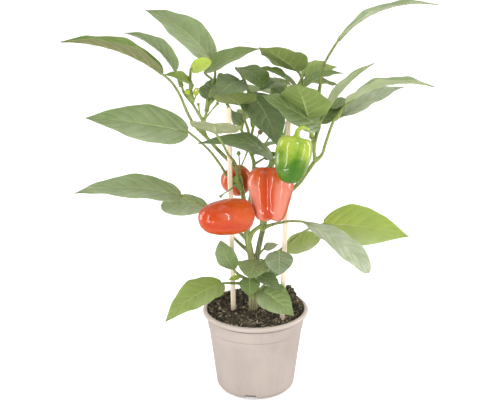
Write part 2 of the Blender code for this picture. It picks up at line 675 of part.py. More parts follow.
def fruit_frame(one):
    """Turn that takes a fruit's upright frame to its place, and its length."""
    low, high = Vector(one.blossom_end), Vector(one.stem_end)
    axis = high - low
    turn = axis.to_track_quat("Z", "Y").to_matrix()
    return low, turn @ Matrix.Rotation(math.radians(one.turn), 3, "Z"), axis.length


def make_fruit(one, material, pocket):
    """Blocky lobed bell fruit with a sunk stem end, pocketed for its calyx."""
    low, turn, length = fruit_frame(one)
    points = []
    for reach, along in one.outline:
        if reach == 0:
            points.append(low + turn @ Vector((0, 0, along * length)))
            continue
        for k in range(FRUIT_SIDES):
            angle = math.tau * k / FRUIT_SIDES
            furrow = 1 - abs(math.cos(one.lobes * angle / 2))
            deeper = 1 + END_FURROW * abs(along - WAIST)
            radius = one.radius * reach * (1 - one.furrow * deeper * furrow ** 1.5)
            radius *= 1 - one.taper * (1 - along)
            drop = one.taper * FOOT_NOTCH * length * furrow * max(0.0, FOOT_SHARE - along)
            points.append(low + turn @ Vector((radius * math.cos(angle), radius * math.sin(angle),
                                               along * length + drop)))
    fruit = make_object(one.name, points, round_faces(len(one.outline) - 2, FRUIT_SIDES), material)
    combine(fruit, "DIFFERENCE", [pocket])
    fruit.data.shade_smooth()
    return fruit


def calyx_stalk(name, one, route, grow=0.0):
    """Fruit stalk along the route, flared to the calyx that sits in the fruit's stem end."""
    low, turn, length = fruit_frame(one)
    seat = low + turn @ Vector((0, 0, SEAT_SHARE * length))
    out = (turn @ Vector((0, 0, 1))).normalized()
    path = smooth_path(list(route) + [seat + out * (CALYX_HEIGHT + 2 * PEDUNCLE)], 1)
    path += [seat + out * CALYX_HEIGHT, seat + out * CALYX_DISC, seat - out * (CALYX_SINK + grow)]
    radii = [PEDUNCLE + grow] * (len(path) - 3)
    radii += [PEDUNCLE + PEDUNCLE_FLARE + grow, CALYX_SHOULDER + grow, CALYX_RADIUS + grow]
    return tube(name, path, radii, CALYX_SIDES)


# Fruit stalks, from the stem to the calyx
FRONT_ROUTE = [(-10, 1, 205), (-9, -4, 222), (-7, -10, 236)]
CENTRE_ROUTE = [(51, 6, 261), (50, 0, 274), (42, -6, 288), (31, -8, 299)]
BACK_ROUTE = [(-16, 7, 252), (-20, 2, 262), (-22, 0, 270), (-21, 4, 272)]
GREEN_ROUTE = [(66, -13, 326), (64, -24, 334), (56, -40, 343), (52, -48, 346)]

CANE_LEFT = ((-26, 0, 34), (-31.5, -3, 358))
CANE_RIGHT = ((31, -30, 44), (40, 18, 380))


def stub(name, route, cup):
    """Dried stalk that ends in a small open calyx, kept as a solid cup."""
    path = smooth_path(route, 2)
    radii = [DRY_STALK] * (len(path) - 2) + [(DRY_STALK + cup) / 2, cup]
    return tube(name, path, radii, STALK_SIDES)


def main():
    for obj in list(bpy.data.objects):
        bpy.data.objects.remove(obj)
    clay = plain_material("pot_plastic", (0.60, 0.50, 0.44), 0.55)
    earth = plain_material("soil_earth", (0.055, 0.04, 0.028), 0.95)
    wood = plain_material("cane_wood", (0.78, 0.62, 0.42), 0.7)
    green = plain_material("leaf_green", (0.16, 0.27, 0.10), 0.5)
    red = plain_material("fruit_red", (0.62, 0.09, 0.03), 0.2)
    unripe = plain_material("fruit_green", (0.24, 0.45, 0.05), 0.2)

    make_pot(clay)
    x, y, bottom = TRUNK[0]
    hole = tube("stem_hole", [(x, y, bottom - GAP), (x, y, POT_HEIGHT + HEAP_HEIGHT)],
                [STEM_HOLE] * 2, STEM_HOLE_SIDES)
    make_soil(earth, [hole, cane("cane_hole_left", *CANE_LEFT, grow=GAP),
                      cane("cane_hole_right", *CANE_RIGHT, grow=GAP)])
    cane("cane_left", *CANE_LEFT, material=wood)
    cane("cane_right", *CANE_RIGHT, material=wood)

    stems = [stem("main_stem", TRUNK, TRUNK_RADII, 8),
             stem("leader", RIGHT_LEADER, [3.8, 3.4, 3.0]),
             stem("link", LEADER_LINK, [2.8, 2.4]),
             stem("middle_stub", MIDDLE_STUB, [2.8, 2.5]),
             stem("back_stub", BACK_STUB, [2.8, 2.6])]
    small = [calyx_stalk("front_stalk", RED_FRONT, FRONT_ROUTE),
             calyx_stalk("back_stalk", RED_BACK, BACK_ROUTE),
             *bud("bud", [(-19, 8, 270), (-19, 6, 288), (-20, 6, 300)], 2.8),
             stub("side_shoot", [(-21, 9, 275), (-14, 13, 289), (-9, 15, 302)], 1.2),
             stub("dry_stalk", [(-18, 7, 266), (-28, -8, 261), (-37, -9, 255), (-42, -10, 251)],
                  2.4)]
    leafy_stem("main_stem", stems, MAIN_LEAVES, small, green)

    stems = [stem("left_stem", grown_on(TRUNK, LEFT_STEM), [2.4, 2.2, 2.0]),
             stem("left_fork", LEFT_FORK, [1.7, 1.4]),
             stem("left_spur", LEFT_SPUR, [1.7, 1.4])]
    small = [*bud("bud_a", [(-74, 12, 359), (-78, 9, 368), (-79, 8, 374)], 3.6),
             *bud("bud_b", [(-74, 12, 359), (-70, 8, 368), (-69, 7, 374)], 3.6, 1.5),
             stub("empty_calyx", [(-65, 13, 342), (-66, 11, 352), (-67, 10, 359)], 2.0),
             stub("flower_stalk", [(-60, 15, 339), (-52, 12, 350), (-44, 10, 360)], 2.2)]
    leafy_stem("left_stem", stems, LEFT_LEAVES, small, green)

    stems = [stem("middle_stem", grown_on(MIDDLE_STUB, MIDDLE_STEM), [2.4, 2.2, 1.8]),
             stem("middle_spur", MIDDLE_SPUR, [1.8, 1.6])]
    small = [*bud("withered", [(-7, 25, 298), (0, 30, 310), (6, 29, 320)], 4.5, 0.8),
             stub("thin_stalk", [(-5, 22, 292), (8, 24, 302), (17, 22, 316)], 1.2)]
    leafy_stem("middle_stem", stems, MIDDLE_LEAVES, small, green)

    stems = [stem("right_stem", grown_on(RIGHT_LEADER, RIGHT_STEM), [2.8, 2.5, 2.3]),
             stem("right_fork_a", RIGHT_FORK_A, [1.9, 1.7]),
             stem("right_fork_b", RIGHT_FORK_B, [1.9, 1.6]),
             stem("right_spur", RIGHT_SPUR, [1.7, 1.5])]
    small = [calyx_stalk("green_stalk", GREEN, GREEN_ROUTE),
             calyx_stalk("centre_stalk", RED_CENTRE, CENTRE_ROUTE)]
    leafy_stem("right_stem", stems, RIGHT_LEAVES, small, green)

    stems = [stem("back_stem", grown_on(BACK_STUB, BACK_STEM), [2.5, 2.2, 1.8])]
    leafy_stem("back_stem", stems, BACK_LEAVES, [], green)

    for one, route, finish in ((RED_FRONT, FRONT_ROUTE, red), (RED_CENTRE, CENTRE_ROUTE, red),
                               (RED_BACK, BACK_ROUTE, red), (GREEN, GREEN_ROUTE, unripe)):
        make_fruit(one, finish, calyx_stalk("pocket", one, route, GAP))


main()
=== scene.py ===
"""Finished surfaces of a potted sweet pepper plant: pot, soil, canes, stems, leaves and fruits.

Places and sizes are in millimetres in the plant's own frame, as in its solids: origin at the middle
of the pot's underside, +Z up, the show side towards -Y. Meshes are made in metres.
"""
import json
import math
import random
from collections import namedtuple

import bmesh
import bpy
import numpy as np
from mathutils import Matrix, Vector, noise
from mathutils.kdtree import KDTree

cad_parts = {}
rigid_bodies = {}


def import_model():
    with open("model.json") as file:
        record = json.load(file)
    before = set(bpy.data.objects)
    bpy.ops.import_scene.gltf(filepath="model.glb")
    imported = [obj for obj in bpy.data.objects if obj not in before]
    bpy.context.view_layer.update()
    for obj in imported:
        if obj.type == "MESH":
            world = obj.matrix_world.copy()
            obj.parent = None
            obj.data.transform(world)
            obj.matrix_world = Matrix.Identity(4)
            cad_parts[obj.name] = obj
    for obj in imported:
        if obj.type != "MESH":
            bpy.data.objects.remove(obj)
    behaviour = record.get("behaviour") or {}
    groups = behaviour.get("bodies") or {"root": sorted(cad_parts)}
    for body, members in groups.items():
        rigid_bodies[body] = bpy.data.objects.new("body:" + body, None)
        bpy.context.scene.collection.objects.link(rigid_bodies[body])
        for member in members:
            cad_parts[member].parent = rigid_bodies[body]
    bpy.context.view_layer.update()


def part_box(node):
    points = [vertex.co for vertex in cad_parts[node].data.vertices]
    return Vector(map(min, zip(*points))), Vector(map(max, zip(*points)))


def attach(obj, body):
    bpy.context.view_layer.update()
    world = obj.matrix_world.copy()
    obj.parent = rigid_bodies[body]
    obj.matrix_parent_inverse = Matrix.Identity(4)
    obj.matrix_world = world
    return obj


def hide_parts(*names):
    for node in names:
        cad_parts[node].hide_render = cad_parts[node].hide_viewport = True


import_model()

bl_info = {
    "name": "Potted sweet pepper",
    "version": (1, 0, 0),
    "blender": (4, 5, 0),
    "location": "3D View > Sidebar > Sweet pepper",
    "description": "Builds the pot, soil, canes, stems, leaves and fruits of a sweet pepper plant",
    "category": "Add Mesh",
}

MM = 0.001
GAP = 0.3
THOUSAND = 1000.0
# Edges that turn by more than this stay hard, in degrees
POT_EDGE = 35
CANE_EDGE = 40
LEAF_EDGE = 60

# Pot
RIM_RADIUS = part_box("pot")[1][0] / MM
POT_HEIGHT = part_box("pot")[1][2] / MM
FOOT_RADIUS = 47.5
FOOT_ROUND = 10.0
WALL = 2.0
LIP_HEIGHT = 6.0
COLLAR_RADIUS = 60.5
STEP_RADIUS = 58.5
STEP_HEIGHT = 81.5
POT_SIDES = 192
# Faint rings that moulding leaves on the body: how many rows, how fine and how high
BODY_ROWS = 60
BODY_FINE = 2.1
BODY_SHARE = 0.3
CHANNELS = 4
CHANNEL_WIDTH = 14.5
CHANNEL_HEIGHT = 8.0
CHANNEL_START = 18.0
CHANNEL_TURN = -97.0
CHANNEL_SLOPE = 1.0
DRAIN_RADIUS = 3.5
DRAIN_PLACE = 33.0
MOUTH_INSET = 1.4
# Painted shade under the lip and at the step: middle, reach and weight
PAINTED_SHADE_LINES = ((POT_HEIGHT - LIP_HEIGHT - 1.6, 1.8, 0.9), (STEP_HEIGHT, 0.9, 0.45))

# Soil
SOIL_LEVEL = 101.0
HEAP_PLACE = (41.0, 27.0)
HEAP_HEIGHT = 17.5
HEAP_SPREAD = 15.0
HEAP_FOOT = 9.0
SOIL_RISE = 5.0
SOIL_RINGS = 64
SOIL_SIDES = 168
# Where crumbs lie: not deeper below the level than this, nor on faces steeper than this
SOIL_SKIN = 5.0
SOIL_FLATTEST = 0.1
# One crumb: how uneven it is, how fine its lumps are, and how much it bends
CRUMB_UNEVEN = 0.7
CRUMB_LUMPS = 2.3
CRUMB_BEND = 0.12
# Heights between which crumbs turn darker, and those where a cane is soiled, from clean to soiled
CRUMB_SHADE = (99.0, 110.0)
CANE_SOILED = (110.0, 100.0)
# Unevenness of the soil: height, fineness and a start of its own
SOIL_LUMPS = ((1.6, 0.11, 0), (1.7, 0.32, 7), (1.2, 0.9, 3))

# Canes
CANE_WIDTH = 6.0
CANE_DEPTH = 4.0
CANE_CORNER = 1.1
CANE_POINT = 22.0
CANE_POINT_SHARE = 0.25
CANE_TOP_SHARE = 0.90
CANE_STEP = 3.0
# Splits and chips along a cane, and how ragged its top is
CANE_RIPPLE = 0.10
CANE_CHIP = 0.5
CANE_CHIP_START = 0.25
CANE_TORN = 1.2
CANE_LEFT = ((-26, 0, 34), (-31.5, -3, 358))
CANE_RIGHT = ((31, -30, 44), (40, 18, 380))

# Stems
PATH_STEPS = 5
STEM_SIDES = 14
THIN_STALK = (1.0, 0.9, 0.9)
# Knobs: how large low on the first stem and elsewhere, up to which height, and how fine; the
# swelling where a stem forks off, and how fast it fades
KNOB_LOW = 0.30
KNOB_HIGH = 0.07
KNOB_TOP = 150
KNOB_FINE = 0.21
FORK_SWELL = 0.35
FORK_FADE = 3

# Leaf stalks: radii from foot to blade, where they end under the midrib and how far below it,
# and how thin they are on leaves narrower than this
STALK_RADII = (2.2, 1.8, 1.6, 1.5, 1.35, 1.15, 0.9)
STALK_SHARES = (0.02, 0.06, 0.12)
STALK_DROP = 0.7
SMALL_LEAF = 15
SMALL_STALK = 0.75

# Blades: length of a row and least and most rows, half columns of leaves broader than this and
# of the others, and how rows and columns crowd
BLADE_START = 0.015
ROW_LENGTH = 2.3
FEWEST_ROWS = 14
MOST_ROWS = 54
BROAD_LEAF = 24
BROAD_COLUMNS = 13
SLIM_COLUMNS = 8
ROW_SPREAD = 0.93
COLUMN_SPREAD = 1.35
# Edge waves: turns along the blade, their start on each half, and the finer ripple on them
WAVE_TURNS = 2.5
LEFT_WAVE = 2.4
RIGHT_WAVE = 0.9
RIPPLE_TURNS = 5.3
RIPPLE_SHARE = 0.3
# The outline's own unevenness, and how much the edge droops
EDGE_ROUGH = 0.012
EDGE_TURNS = 23
EDGE_DROOP = 0.05
# Widths from which waves, relief and quilting have their full height
FULL_WAVES = 40
FULL_RELIEF = 36
FULL_QUILT = 9
# Midrib below the blade and groove above it; side veins sunk above, raised below, half width
RIB_RADIUS = 0.9
GROOVE_DEPTH = 0.55
VEIN_RELIEF = 0.5
VEIN_UNDER = 0.22
VEIN_HALF = 0.10
# How far side veins sweep towards the tip, how they curve, and how the right ones are shifted
VEIN_SWEEP = 0.26
VEIN_CURVE = 1.35
VEIN_SHIFT = 0.35
# Painted sheen: how much paler the lower half of a leaf that stands on its side is
LOWER_SHEEN = 0.6
# Leaves whose under face is flushed with purple, by piece and number
FLUSHED = {("left_leaves", 1): 0.6, ("left_leaves", 2): 0.6, ("main_leaves", 15): 0.35}

# One leaf: where its stalk leaves the stem and passes, its base, its tip, its width, which way
# its upper face looks, how far its halves fold up (degrees), how much its midrib bows towards
# the upper face (share of length), the height of its edge waves, its turn about the midrib from
# base to tip (degrees), its outline, how young and yellow it is, how deep its green, and how much
# painted grey sheen it has
Leaf = namedtuple("Leaf", "stalk base tip width face fold arch wave twist shape young deep pale")
# How a leaf widens from its base and narrows to its tip: the usual long tip
LONG_TIP = (0.62, 1.12)


def leaf(stalk, base, tip, width, face, fold=12, arch=0.08, wave=1.2, twist=0, shape=LONG_TIP,
         young=0.0, deep=0.0, pale=0.0):
    """A leaf with the usual fold, bow, waves and long tip unless it says otherwise."""
    return Leaf(stalk, base, tip, width, face, fold, arch, wave, twist, shape, young, deep, pale)


TRUNK = [(-2, 4, 72), (-2, 4, 97), (-4, 3, 126), (-4, 2, 153), (-6, 1, 175), (-10, 1, 197),
         (-11, 4, 223), (-14, 6, 242), (-18, 8, 264), (-23, 9, 280)]
TRUNK_RADII = [4.0, 6.2, 5.0, 4.8, 4.2, 4.0, 3.4, 3.0, 2.8, 2.6]
RIGHT_LEADER = [(-3, 3, 148), (2, 3, 171), (5, 4, 187), (9, 4, 205), (14, 8, 226)]
LEADER_LINK = [(-9, 1, 190), (-3, 3, 202), (7, 4, 210)]
MIDDLE_STUB = [(-11, 4, 223), (-8, 8, 232), (-6, 10, 244)]
BACK_STUB = [(9, 4, 205), (8, 14, 222), (9, 24, 240)]

MAIN_LEAVES = [
    leaf([(-17, 7, 255), (-26, 9, 261), (-33, 8, 270), (-43, 2, 289), (-56, -3, 308)],
         (-77, -8, 329), (-193, -36, 354), 50, (0.1, -0.7, 0.7), fold=8, arch=0.05, pale=0.2),
    leaf([(-9, 1, 192), (-22, 5, 203), (-37, 6, 215), (-64, -6, 239)],
         (-86, -12, 252), (-209, -42, 266), 40, (0.0, -0.5, 0.85), arch=0.10, pale=0.3),
    leaf([(-7, 2, 176), (-24, 8, 190), (-43, 11, 212)],
         (-58, 10, 233), (-115, 16, 231), 31, (0.0, -0.6, 0.75), fold=4, arch=0.03, wave=0.6,
         shape=(0.55, 0.5), pale=0.4),
    leaf([(9, 4, 207), (22, -8, 216), (30, -17, 221), (41, -23, 225)],
         (55, -30, 227), (131, -76, 181), 38, (0.35, -0.4, 0.8), fold=8, arch=0.10,
         shape=(0.8, 0.5), pale=0.75),
    leaf([(-3, 3, 155), (13, 7, 162), (27, 8, 174), (48, 8, 193), (66, 7, 205)],
         (80, 5, 211), (182, -24, 206), 54, (0.1, -0.75, 0.65), fold=6, arch=0.10, young=0.5),
    leaf([(-4, 2, 150), (14, 10, 160)],
         (34, 16, 173), (81, 28, 187), 27, (0.1, -0.7, 0.7), fold=8, shape=(0.62, 0.7),
         young=0.55, pale=0.15),
    leaf([(-4, 1, 134), (-24, -9, 140)],
         (-39, -14, 142), (-107, -56, 110), 46, (-0.25, -0.5, 0.8), fold=10, arch=0.12, young=0.2),
    leaf([(-4, 1, 137), (-20, -9, 151)],
         (-26, -10, 158), (-42, -14, 197), 27, (-0.3, -0.9, 0.2), fold=10,
         shape=(0.75, 0.80), deep=0.2),
    leaf([(-4, 0, 140), (-14, -9, 147)],
         (-19, -12, 149), (-33, -16, 147), 8, (0.0, -0.6, 0.8), young=0.6),
    leaf([(-4, 0, 160), (-2, -7, 167)],
         (1, -12, 170), (-6, -46, 162), 36, (0.0, -0.4, 0.9), fold=6, arch=0.14,
         shape=(0.55, 0.62), deep=0.05),
    leaf([(-4, 0, 140), (-5, -8, 146)],
         (-7, -14, 149), (-7, -34, 132), 26, (0.0, -0.7, 0.7), fold=6, arch=0.14, deep=0.2),
    leaf([(0, 2, 150), (12, -8, 170), (22, -20, 184)],
         (28, -26, 188), (28, -41, 164), 34, (0.0, -0.85, 0.5), fold=8, arch=0.10,
         shape=(0.50, 0.85), deep=0.5, pale=0.35),
    leaf([(-3, 0, 122), (2, -7, 130)],
         (7, -14, 134), (46, -48, 114), 38, (0.1, -0.8, 0.55), fold=8, arch=0.10, young=0.03),
    leaf([(-3, 1, 140), (-1, -4, 148)],
         (4, -10, 150), (30, -32, 139), 22, (0.2, -0.6, 0.75), fold=14, arch=0.14, deep=0.5),
    leaf([(0, 3, 164), (6, 8, 173)],
         (10, 10, 177), (28, 16, 181), 12, (0.0, -0.6, 0.8), pale=1.0),
    leaf([(-17, 8, 262), (-21, -3, 281), (-25, -20, 298), (-31, -41, 312), (-37, -49, 327)],
         (-44, -54, 340), (-46, -107, 366), 58, (0.08, 0.1, 1.0), fold=8, arch=0.06,
         young=0.2, pale=0.3),
    leaf([(-3, 6, 124), (0, 20, 134)],
         (0, 32, 138), (-22, 92, 122), 40, (0.0, 0.2, 1.0), fold=10, arch=0.14),
    leaf([(-3, 5, 116), (10, 16, 126)],
         (14, 26, 130), (20, 88, 116), 38, (0.1, 0.2, 1.0), fold=10, arch=0.14),
]

LEFT_STEM = [(-31, 10, 289), (-39, 11, 297), (-52, 12, 311), (-60, 13, 322), (-62, 14, 340)]
LEFT_FORK = [(-61, 14, 336), (-69, 13, 350), (-74, 12, 359), (-83, 10, 371), (-86, 9, 382)]
LEFT_SPUR = [(-61, 14, 336), (-58, 17, 347), (-57, 21, 357)]

LEFT_LEAVES = [
    leaf([(-58, 17, 348), (-53, 34, 368), (-48, 42, 386)],
         (-50, 45, 402), (-131, 70, 459), 46, (0.35, -0.6, 0.7), fold=14, arch=0.12, pale=0.15),
    leaf([(-86, 9, 380)],
         (-92, 8, 398), (-152, 30, 439), 30, (0.3, -0.3, 0.9), fold=34, arch=0.12, pale=0.25),
    leaf([(-59, 13, 320), (-72, 6, 335), (-80, 2, 352), (-87, -1, 371), (-96, -3, 387)],
         (-106, -5, 397), (-217, -30, 440), 42, (0.2, 0.0, 1.0), fold=42, arch=0.085,
         young=0.08, deep=0.15),
    leaf([(-74, 12, 361), (-76, 10, 382)],
         (-75, 8, 400), (-50, -2, 412), 17, (0.3, -0.8, 0.5), shape=(0.5, 0.55), young=1.0),
    leaf([(-57, 20, 352)],
         (-57, 23, 361), (-44, 48, 382), 30, (-0.5, -0.7, 0.5), deep=0.3),
    leaf([(-57, 21, 355), (-38, 32, 371)],
         (-17, 33, 381), (-45, 0, 371), 42, (0.2, -0.35, 0.9), fold=8, arch=0.12, deep=0.4),
    leaf([(-82, 10, 371), (-75, 9, 377)],
         (-73, 8, 382), (-104, -4, 397), 24, (-0.2, -0.4, 0.9), fold=16, young=0.3, deep=0.3),
]

MIDDLE_STEM = [(-5, 12, 262), (-2, 18, 284), (-8, 26, 300), (-14, 28, 315), (-20, 28, 330)]
MIDDLE_SPUR = [(-7, 25, 297), (-4, 34, 318), (2, 38, 345)]

MIDDLE_LEAVES = [
    leaf([(-8, 26, 300), (-8, 24, 320), (-13, 14, 340)],
         (-15, 6, 357), (-40, -36, 381), 54, (0.25, 0.8, 0.55), fold=10, arch=0.06),
    leaf([(-3, 35, 325), (-6, 34, 352)],
         (-6, 28, 368), (26, -22, 316), 54, (0.35, -0.6, 0.7), fold=8, arch=0.10, deep=0.45),
    leaf([(-2, 17, 277), (12, 19, 277)],
         (22, 17, 287), (-66, -36, 324), 34, (0.1, -0.7, 0.75), fold=8, arch=0.20, twist=30,
         shape=(0.85, 1.12), deep=0.4),
    leaf([(-2, 18, 283), (4, 22, 285)],
         (10, 22, 289), (27, 20, 296), 11, (0.0, -0.7, 0.7), deep=0.2),
    leaf([(-18, 29, 324)],
         (-15, 28, 331), (-28, 26, 347), 18, (-0.5, -0.8, 0.3), deep=0.5),
    leaf([(-18, 29, 325), (-34, 44, 350), (-46, 54, 372), (-58, 47, 385)],
         (-60, 31, 392), (5, 32, 420), 26, (-0.2, -0.6, 0.8), fold=16, arch=0.10),
    leaf([(1, 37, 340), (-14, 48, 380)],
         (-23, 48, 393), (11, 18, 377), 34, (0.3, -0.5, 0.8), fold=10, arch=0.16,
         shape=(0.85, 0.5), deep=0.25),
]

RIGHT_STEM = [(34, 8, 245), (51, 6, 262), (62, 0, 280), (71, -8, 297)]
RIGHT_FORK_A = [(70, -7, 294), (68, -11, 310), (65, -14, 330)]
RIGHT_FORK_B = [(70, -7, 294), (78, -8, 303), (82, -6, 316), (90, -4, 340), (97, -2, 350)]
RIGHT_SPUR = [(68, -11, 308), (71, -6, 330), (73, 8, 352), (73, 16, 366)]

RIGHT_LEAVES = [
    leaf([(68, -12, 318), (72, -16, 332)],
         (74, -17, 338), (7, -34, 380), 44, (0.3, -0.6, 0.75), fold=10, arch=0.04, deep=0.2),
    leaf([(72, -2, 340)],
         (72, 8, 336), (108, 26, 354), 26, (0.0, -0.5, 0.9)),
    leaf([(65, -14, 324), (64, -16, 337)],
         (61, -18, 348), (44, -60, 399), 60, (0.3, 0.85, 0.4), fold=10, arch=0.06,
         young=0.12, deep=0.6),
    leaf([(71, -8, 330), (76, -2, 340)],
         (80, -1, 348), (134, -20, 414), 26, (-0.5, 0.1, 0.8), fold=44, arch=0.06,
         young=0.05, pale=0.5),
    leaf([(95, -3, 346)],
         (104, -2, 361), (201, -34, 390), 28, (-0.1, 0.05, 1.0), fold=40, arch=0.12, wave=2.0,
         young=0.1, pale=0.5),
    leaf([(92, -3, 344)],
         (98, 6, 344), (176, 34, 374), 34, (-0.2, -0.35, 0.9), fold=14, arch=0.06, pale=0.7),
    leaf([(73, 10, 352)],
         (85, 16, 353), (112, 30, 359), 18, (0.0, -0.5, 0.9)),
    leaf([(73, 16, 364), (76, 18, 381), (77, 20, 392), (82, 21, 408)],
         (95, 22, 430), (207, 4, 476), 20, (-0.3, -0.1, 0.9), fold=34, arch=0.14, wave=2.4,
         young=0.05, pale=0.55),
]

BACK_STEM = [(16, 34, 266), (32, 42, 300), (40, 46, 335), (46, 46, 362)]

BACK_LEAVES = [
    leaf([(42, 46, 345), (54, 38, 366), (56, 31, 380)],
         (51, 27, 393), (4, -12, 430), 56, (0.25, 0.6, 0.8), arch=0.05,
         young=0.2, deep=0.25),
    leaf([(45, 46, 356), (53, 30, 368)],
         (49, 24, 376), (4, 0, 404), 32, (0.0, -0.25, 1.0), fold=16, arch=0.06),
    leaf([(46, 46, 360)],
         (57, 60, 381), (85, 86, 394), 22, (0.0, -0.4, 0.9), young=0.3),
    leaf([(46, 46, 361)],
         (60, 52, 379), (99, 72, 390), 24, (0.0, -0.4, 0.9), fold=16, young=0.2),
    leaf([(46, 46, 359)],
         (58, 42, 374), (104, 46, 388), 24, (-0.1, -0.2, 1.0), fold=20),
    leaf([(44, 46, 352), (58, 62, 366)],
         (68, 62, 374), (102, 44, 371), 28, (0.0, 0.5, 0.8), fold=6),
    leaf([(44, 46, 350)],
         (33, 44, 378), (4, 22, 372), 22, (0.0, -0.4, 0.9), pale=0.2),
    leaf([(43, 46, 348), (42, 56, 368)],
         (37, 58, 376), (20, 40, 358), 26, (0.2, -0.5, 0.8), fold=8, deep=0.1),
    leaf([(34, 43, 308), (26, 66, 320)],
         (18, 82, 322), (-24, 150, 296), 52, (0.0, 0.3, 1.0), fold=10, arch=0.14),
    leaf([(38, 46, 325), (52, 66, 338)],
         (60, 80, 340), (92, 146, 312), 50, (0.1, 0.3, 1.0), arch=0.14),
    leaf([(41, 46, 340), (30, 70, 352)],
         (22, 86, 352), (-6, 158, 334), 48, (0.0, 0.3, 1.0), fold=10, arch=0.12),
    leaf([(22, 37, 280), (14, 56, 288)],
         (8, 68, 288), (-6, 128, 262), 44, (0.0, 0.3, 1.0), fold=10, arch=0.14),
]

# Half outline of a fruit: share of the radius, share of the length from the blossom end
BELL = [(0.0, 0.09), (0.22, 0.05), (0.45, 0.0), (0.68, 0.04), (0.82, 0.17), (0.92, 0.40),
        (1.0, 0.68), (0.94, 0.85), (0.76, 0.965), (0.50, 1.0), (0.26, 0.94), (0.0, 0.91)]
EGG = [(0.0, 0.0), (0.25, 0.01), (0.50, 0.05), (0.72, 0.14), (0.87, 0.28), (0.96, 0.45),
       (1.0, 0.66), (0.95, 0.86), (0.80, 0.97), (0.54, 1.0), (0.28, 0.93), (0.0, 0.90)]

# Fruits: stem end, blossom end, largest radius, lobes, turn about the axis (degrees), furrows,
# how much it narrows to its blossom end, and its outline
Fruit = namedtuple("Fruit", "name stem_end blossom_end radius lobes turn furrow taper outline")
RED_FRONT = Fruit("fruit_red_front", (-9, -37, 239), (-62, -75, 245), 21.4, 3, 20, 0.05, 0.0,
                  EGG)
RED_CENTRE = Fruit("fruit_red_centre", (18, -16, 288), (17, -40, 231), 30.2, 4, 36, 0.13, 0.20,
                   BELL)
RED_BACK = Fruit("fruit_red_back", (-21, 18, 262), (-28, 72, 246), 20.0, 3, 60, 0.12, 0.1,
                 BELL)
GREEN = Fruit("fruit_green", (46, -53, 336), (36, -67, 286), 21.6, 3, 75, 0.08, 0.10,
              EGG)
FRUIT_SIDES = 120
OUTLINE_STEPS = 7
# Furrows: where they are shallowest, how much they deepen to the ends, how soft their edges are,
# and how far up and how deep they notch the foot
WAIST = 0.55
END_FURROW = 1.5
FURROW_SOFT = 0.008
FOOT_SHARE = 0.3
FOOT_NOTCH = 0.8
# Where the calyx sits, as a share of the length
SEAT_SHARE = 0.915
# Unevenness of a fruit's cheeks: height and fineness
CHEEK_LUMPS = ((0.022, 1.3), (0.012, 3.4))

# Colours that the settings leave alone, from dark to light
SOILED_WOOD = (0.30, 0.17, 0.09)
GRIT_COLOURS = ((0.42, 0.33, 0.22), (0.72, 0.66, 0.56))
CHIP_COLOURS = ((0.16, 0.11, 0.06), (0.62, 0.54, 0.38))
DRY_COLOURS = ((0.20, 0.13, 0.06), (0.45, 0.34, 0.18))
CALYX_COLOURS = ((0.17, 0.27, 0.06), (0.27, 0.38, 0.09))
PETAL_COLOURS = ((0.80, 0.70, 0.58), (0.90, 0.86, 0.74))
# Colour of the painted pink reflection on the cheeks of the largest red fruit
CHEEK_REFLECTION = (0.86, 0.42, 0.33)
# Painted shade: what a fruit's colour is multiplied by at the bottom of a furrow
RIPE_CREASE_SHADE = (0.92, 0.68, 0.60)
UNRIPE_CREASE_SHADE = (0.70, 0.88, 0.70)

# Fruit stalks, from the stem to the calyx
PEDUNCLE = 2.6
CALYX_RADIUS = 10.0
CALYX_HEIGHT = 7.0
CALYX_DISC = 2.6
CALYX_LOBES = 5
CALYX_SHARE = 0.93
RIB_HEIGHT = 0.05
# Flare of a fruit stalk to its calyx: height above its seat, radius
CALYX_FLARE = ((CALYX_HEIGHT, 3.4), (5.4, 4.6), (4.0, 6.6), (CALYX_DISC, 8.6), (1.6, 9.7),
               (0.7, 10.1), (0.0, CALYX_RADIUS), (-0.3, 9.4))
BUD_RIDGE = 0.06
BUD_RINGS = 12
# One petal: how far each row stands out, its half width
PETAL_ROWS = ((0.0, 0.5), (1.6, 1.3), (3.2, 1.2), (4.6, 0.3))
PETAL_THICK = 0.35
FRONT_ROUTE = [(-10, 1, 205), (-9, -4, 222), (-7, -10, 236)]
CENTRE_ROUTE = [(51, 6, 261), (50, 0, 274), (42, -6, 288), (31, -8, 299)]
BACK_ROUTE = [(-16, 7, 252), (-20, 2, 262), (-22, 0, 270), (-21, 4, 272)]
GREEN_ROUTE = [(66, -13, 326), (64, -24, 334), (56, -40, 343), (52, -48, 346)]

# Camera, in metres and radians
CAMERA_PLACE = (0.0, -1.295, 0.680)
CAMERA_PITCH = 0.325
CAMERA_LENS = 82.4
CAMERA_SHIFT = -0.011

# Light: the even light's shares towards the show side and behind, and how much of it mirror
# reflections leave out
FRONT_DIM = 0.5
BACK_BRIGHT = 1.2
MIRROR_DIM = 0.48
# Lights, in metres: name, place, width and height, share of their power; all look at one point
LIGHT_TARGET = (0.0, 0.0, 0.25)
SOFT_BOXES = (
    ("box_left", (-0.95, -1.05, 0.75), (0.45, 1.3), 1.0),
    ("box_right", (0.95, -1.10, 0.70), (0.45, 1.3), 0.8),
    ("box_top", (0.0, -0.10, 1.60), (1.2, 1.0), 1.6),
    ("rim_left", (-1.05, 0.30, 0.40), (0.35, 1.1), 3.0),
    ("rim_right", (1.05, 0.30, 0.40), (0.35, 1.1), 4.2),
)
STRIPS = (
    ("strip_left", (-0.75, -1.15, 0.62), (0.12, 1.2), 1.0),
    ("strip_right", (1.05, -0.88, 0.62), (0.12, 1.2), 1.0),
    ("strip_low", (-0.25, -0.65, 0.06), (0.6, 0.03), 0.2),
)
FLOOR_REACH = 12000.0
BLACK = (0.0, 0.0, 0.0)
WHITE = (1.0, 1.0, 1.0)


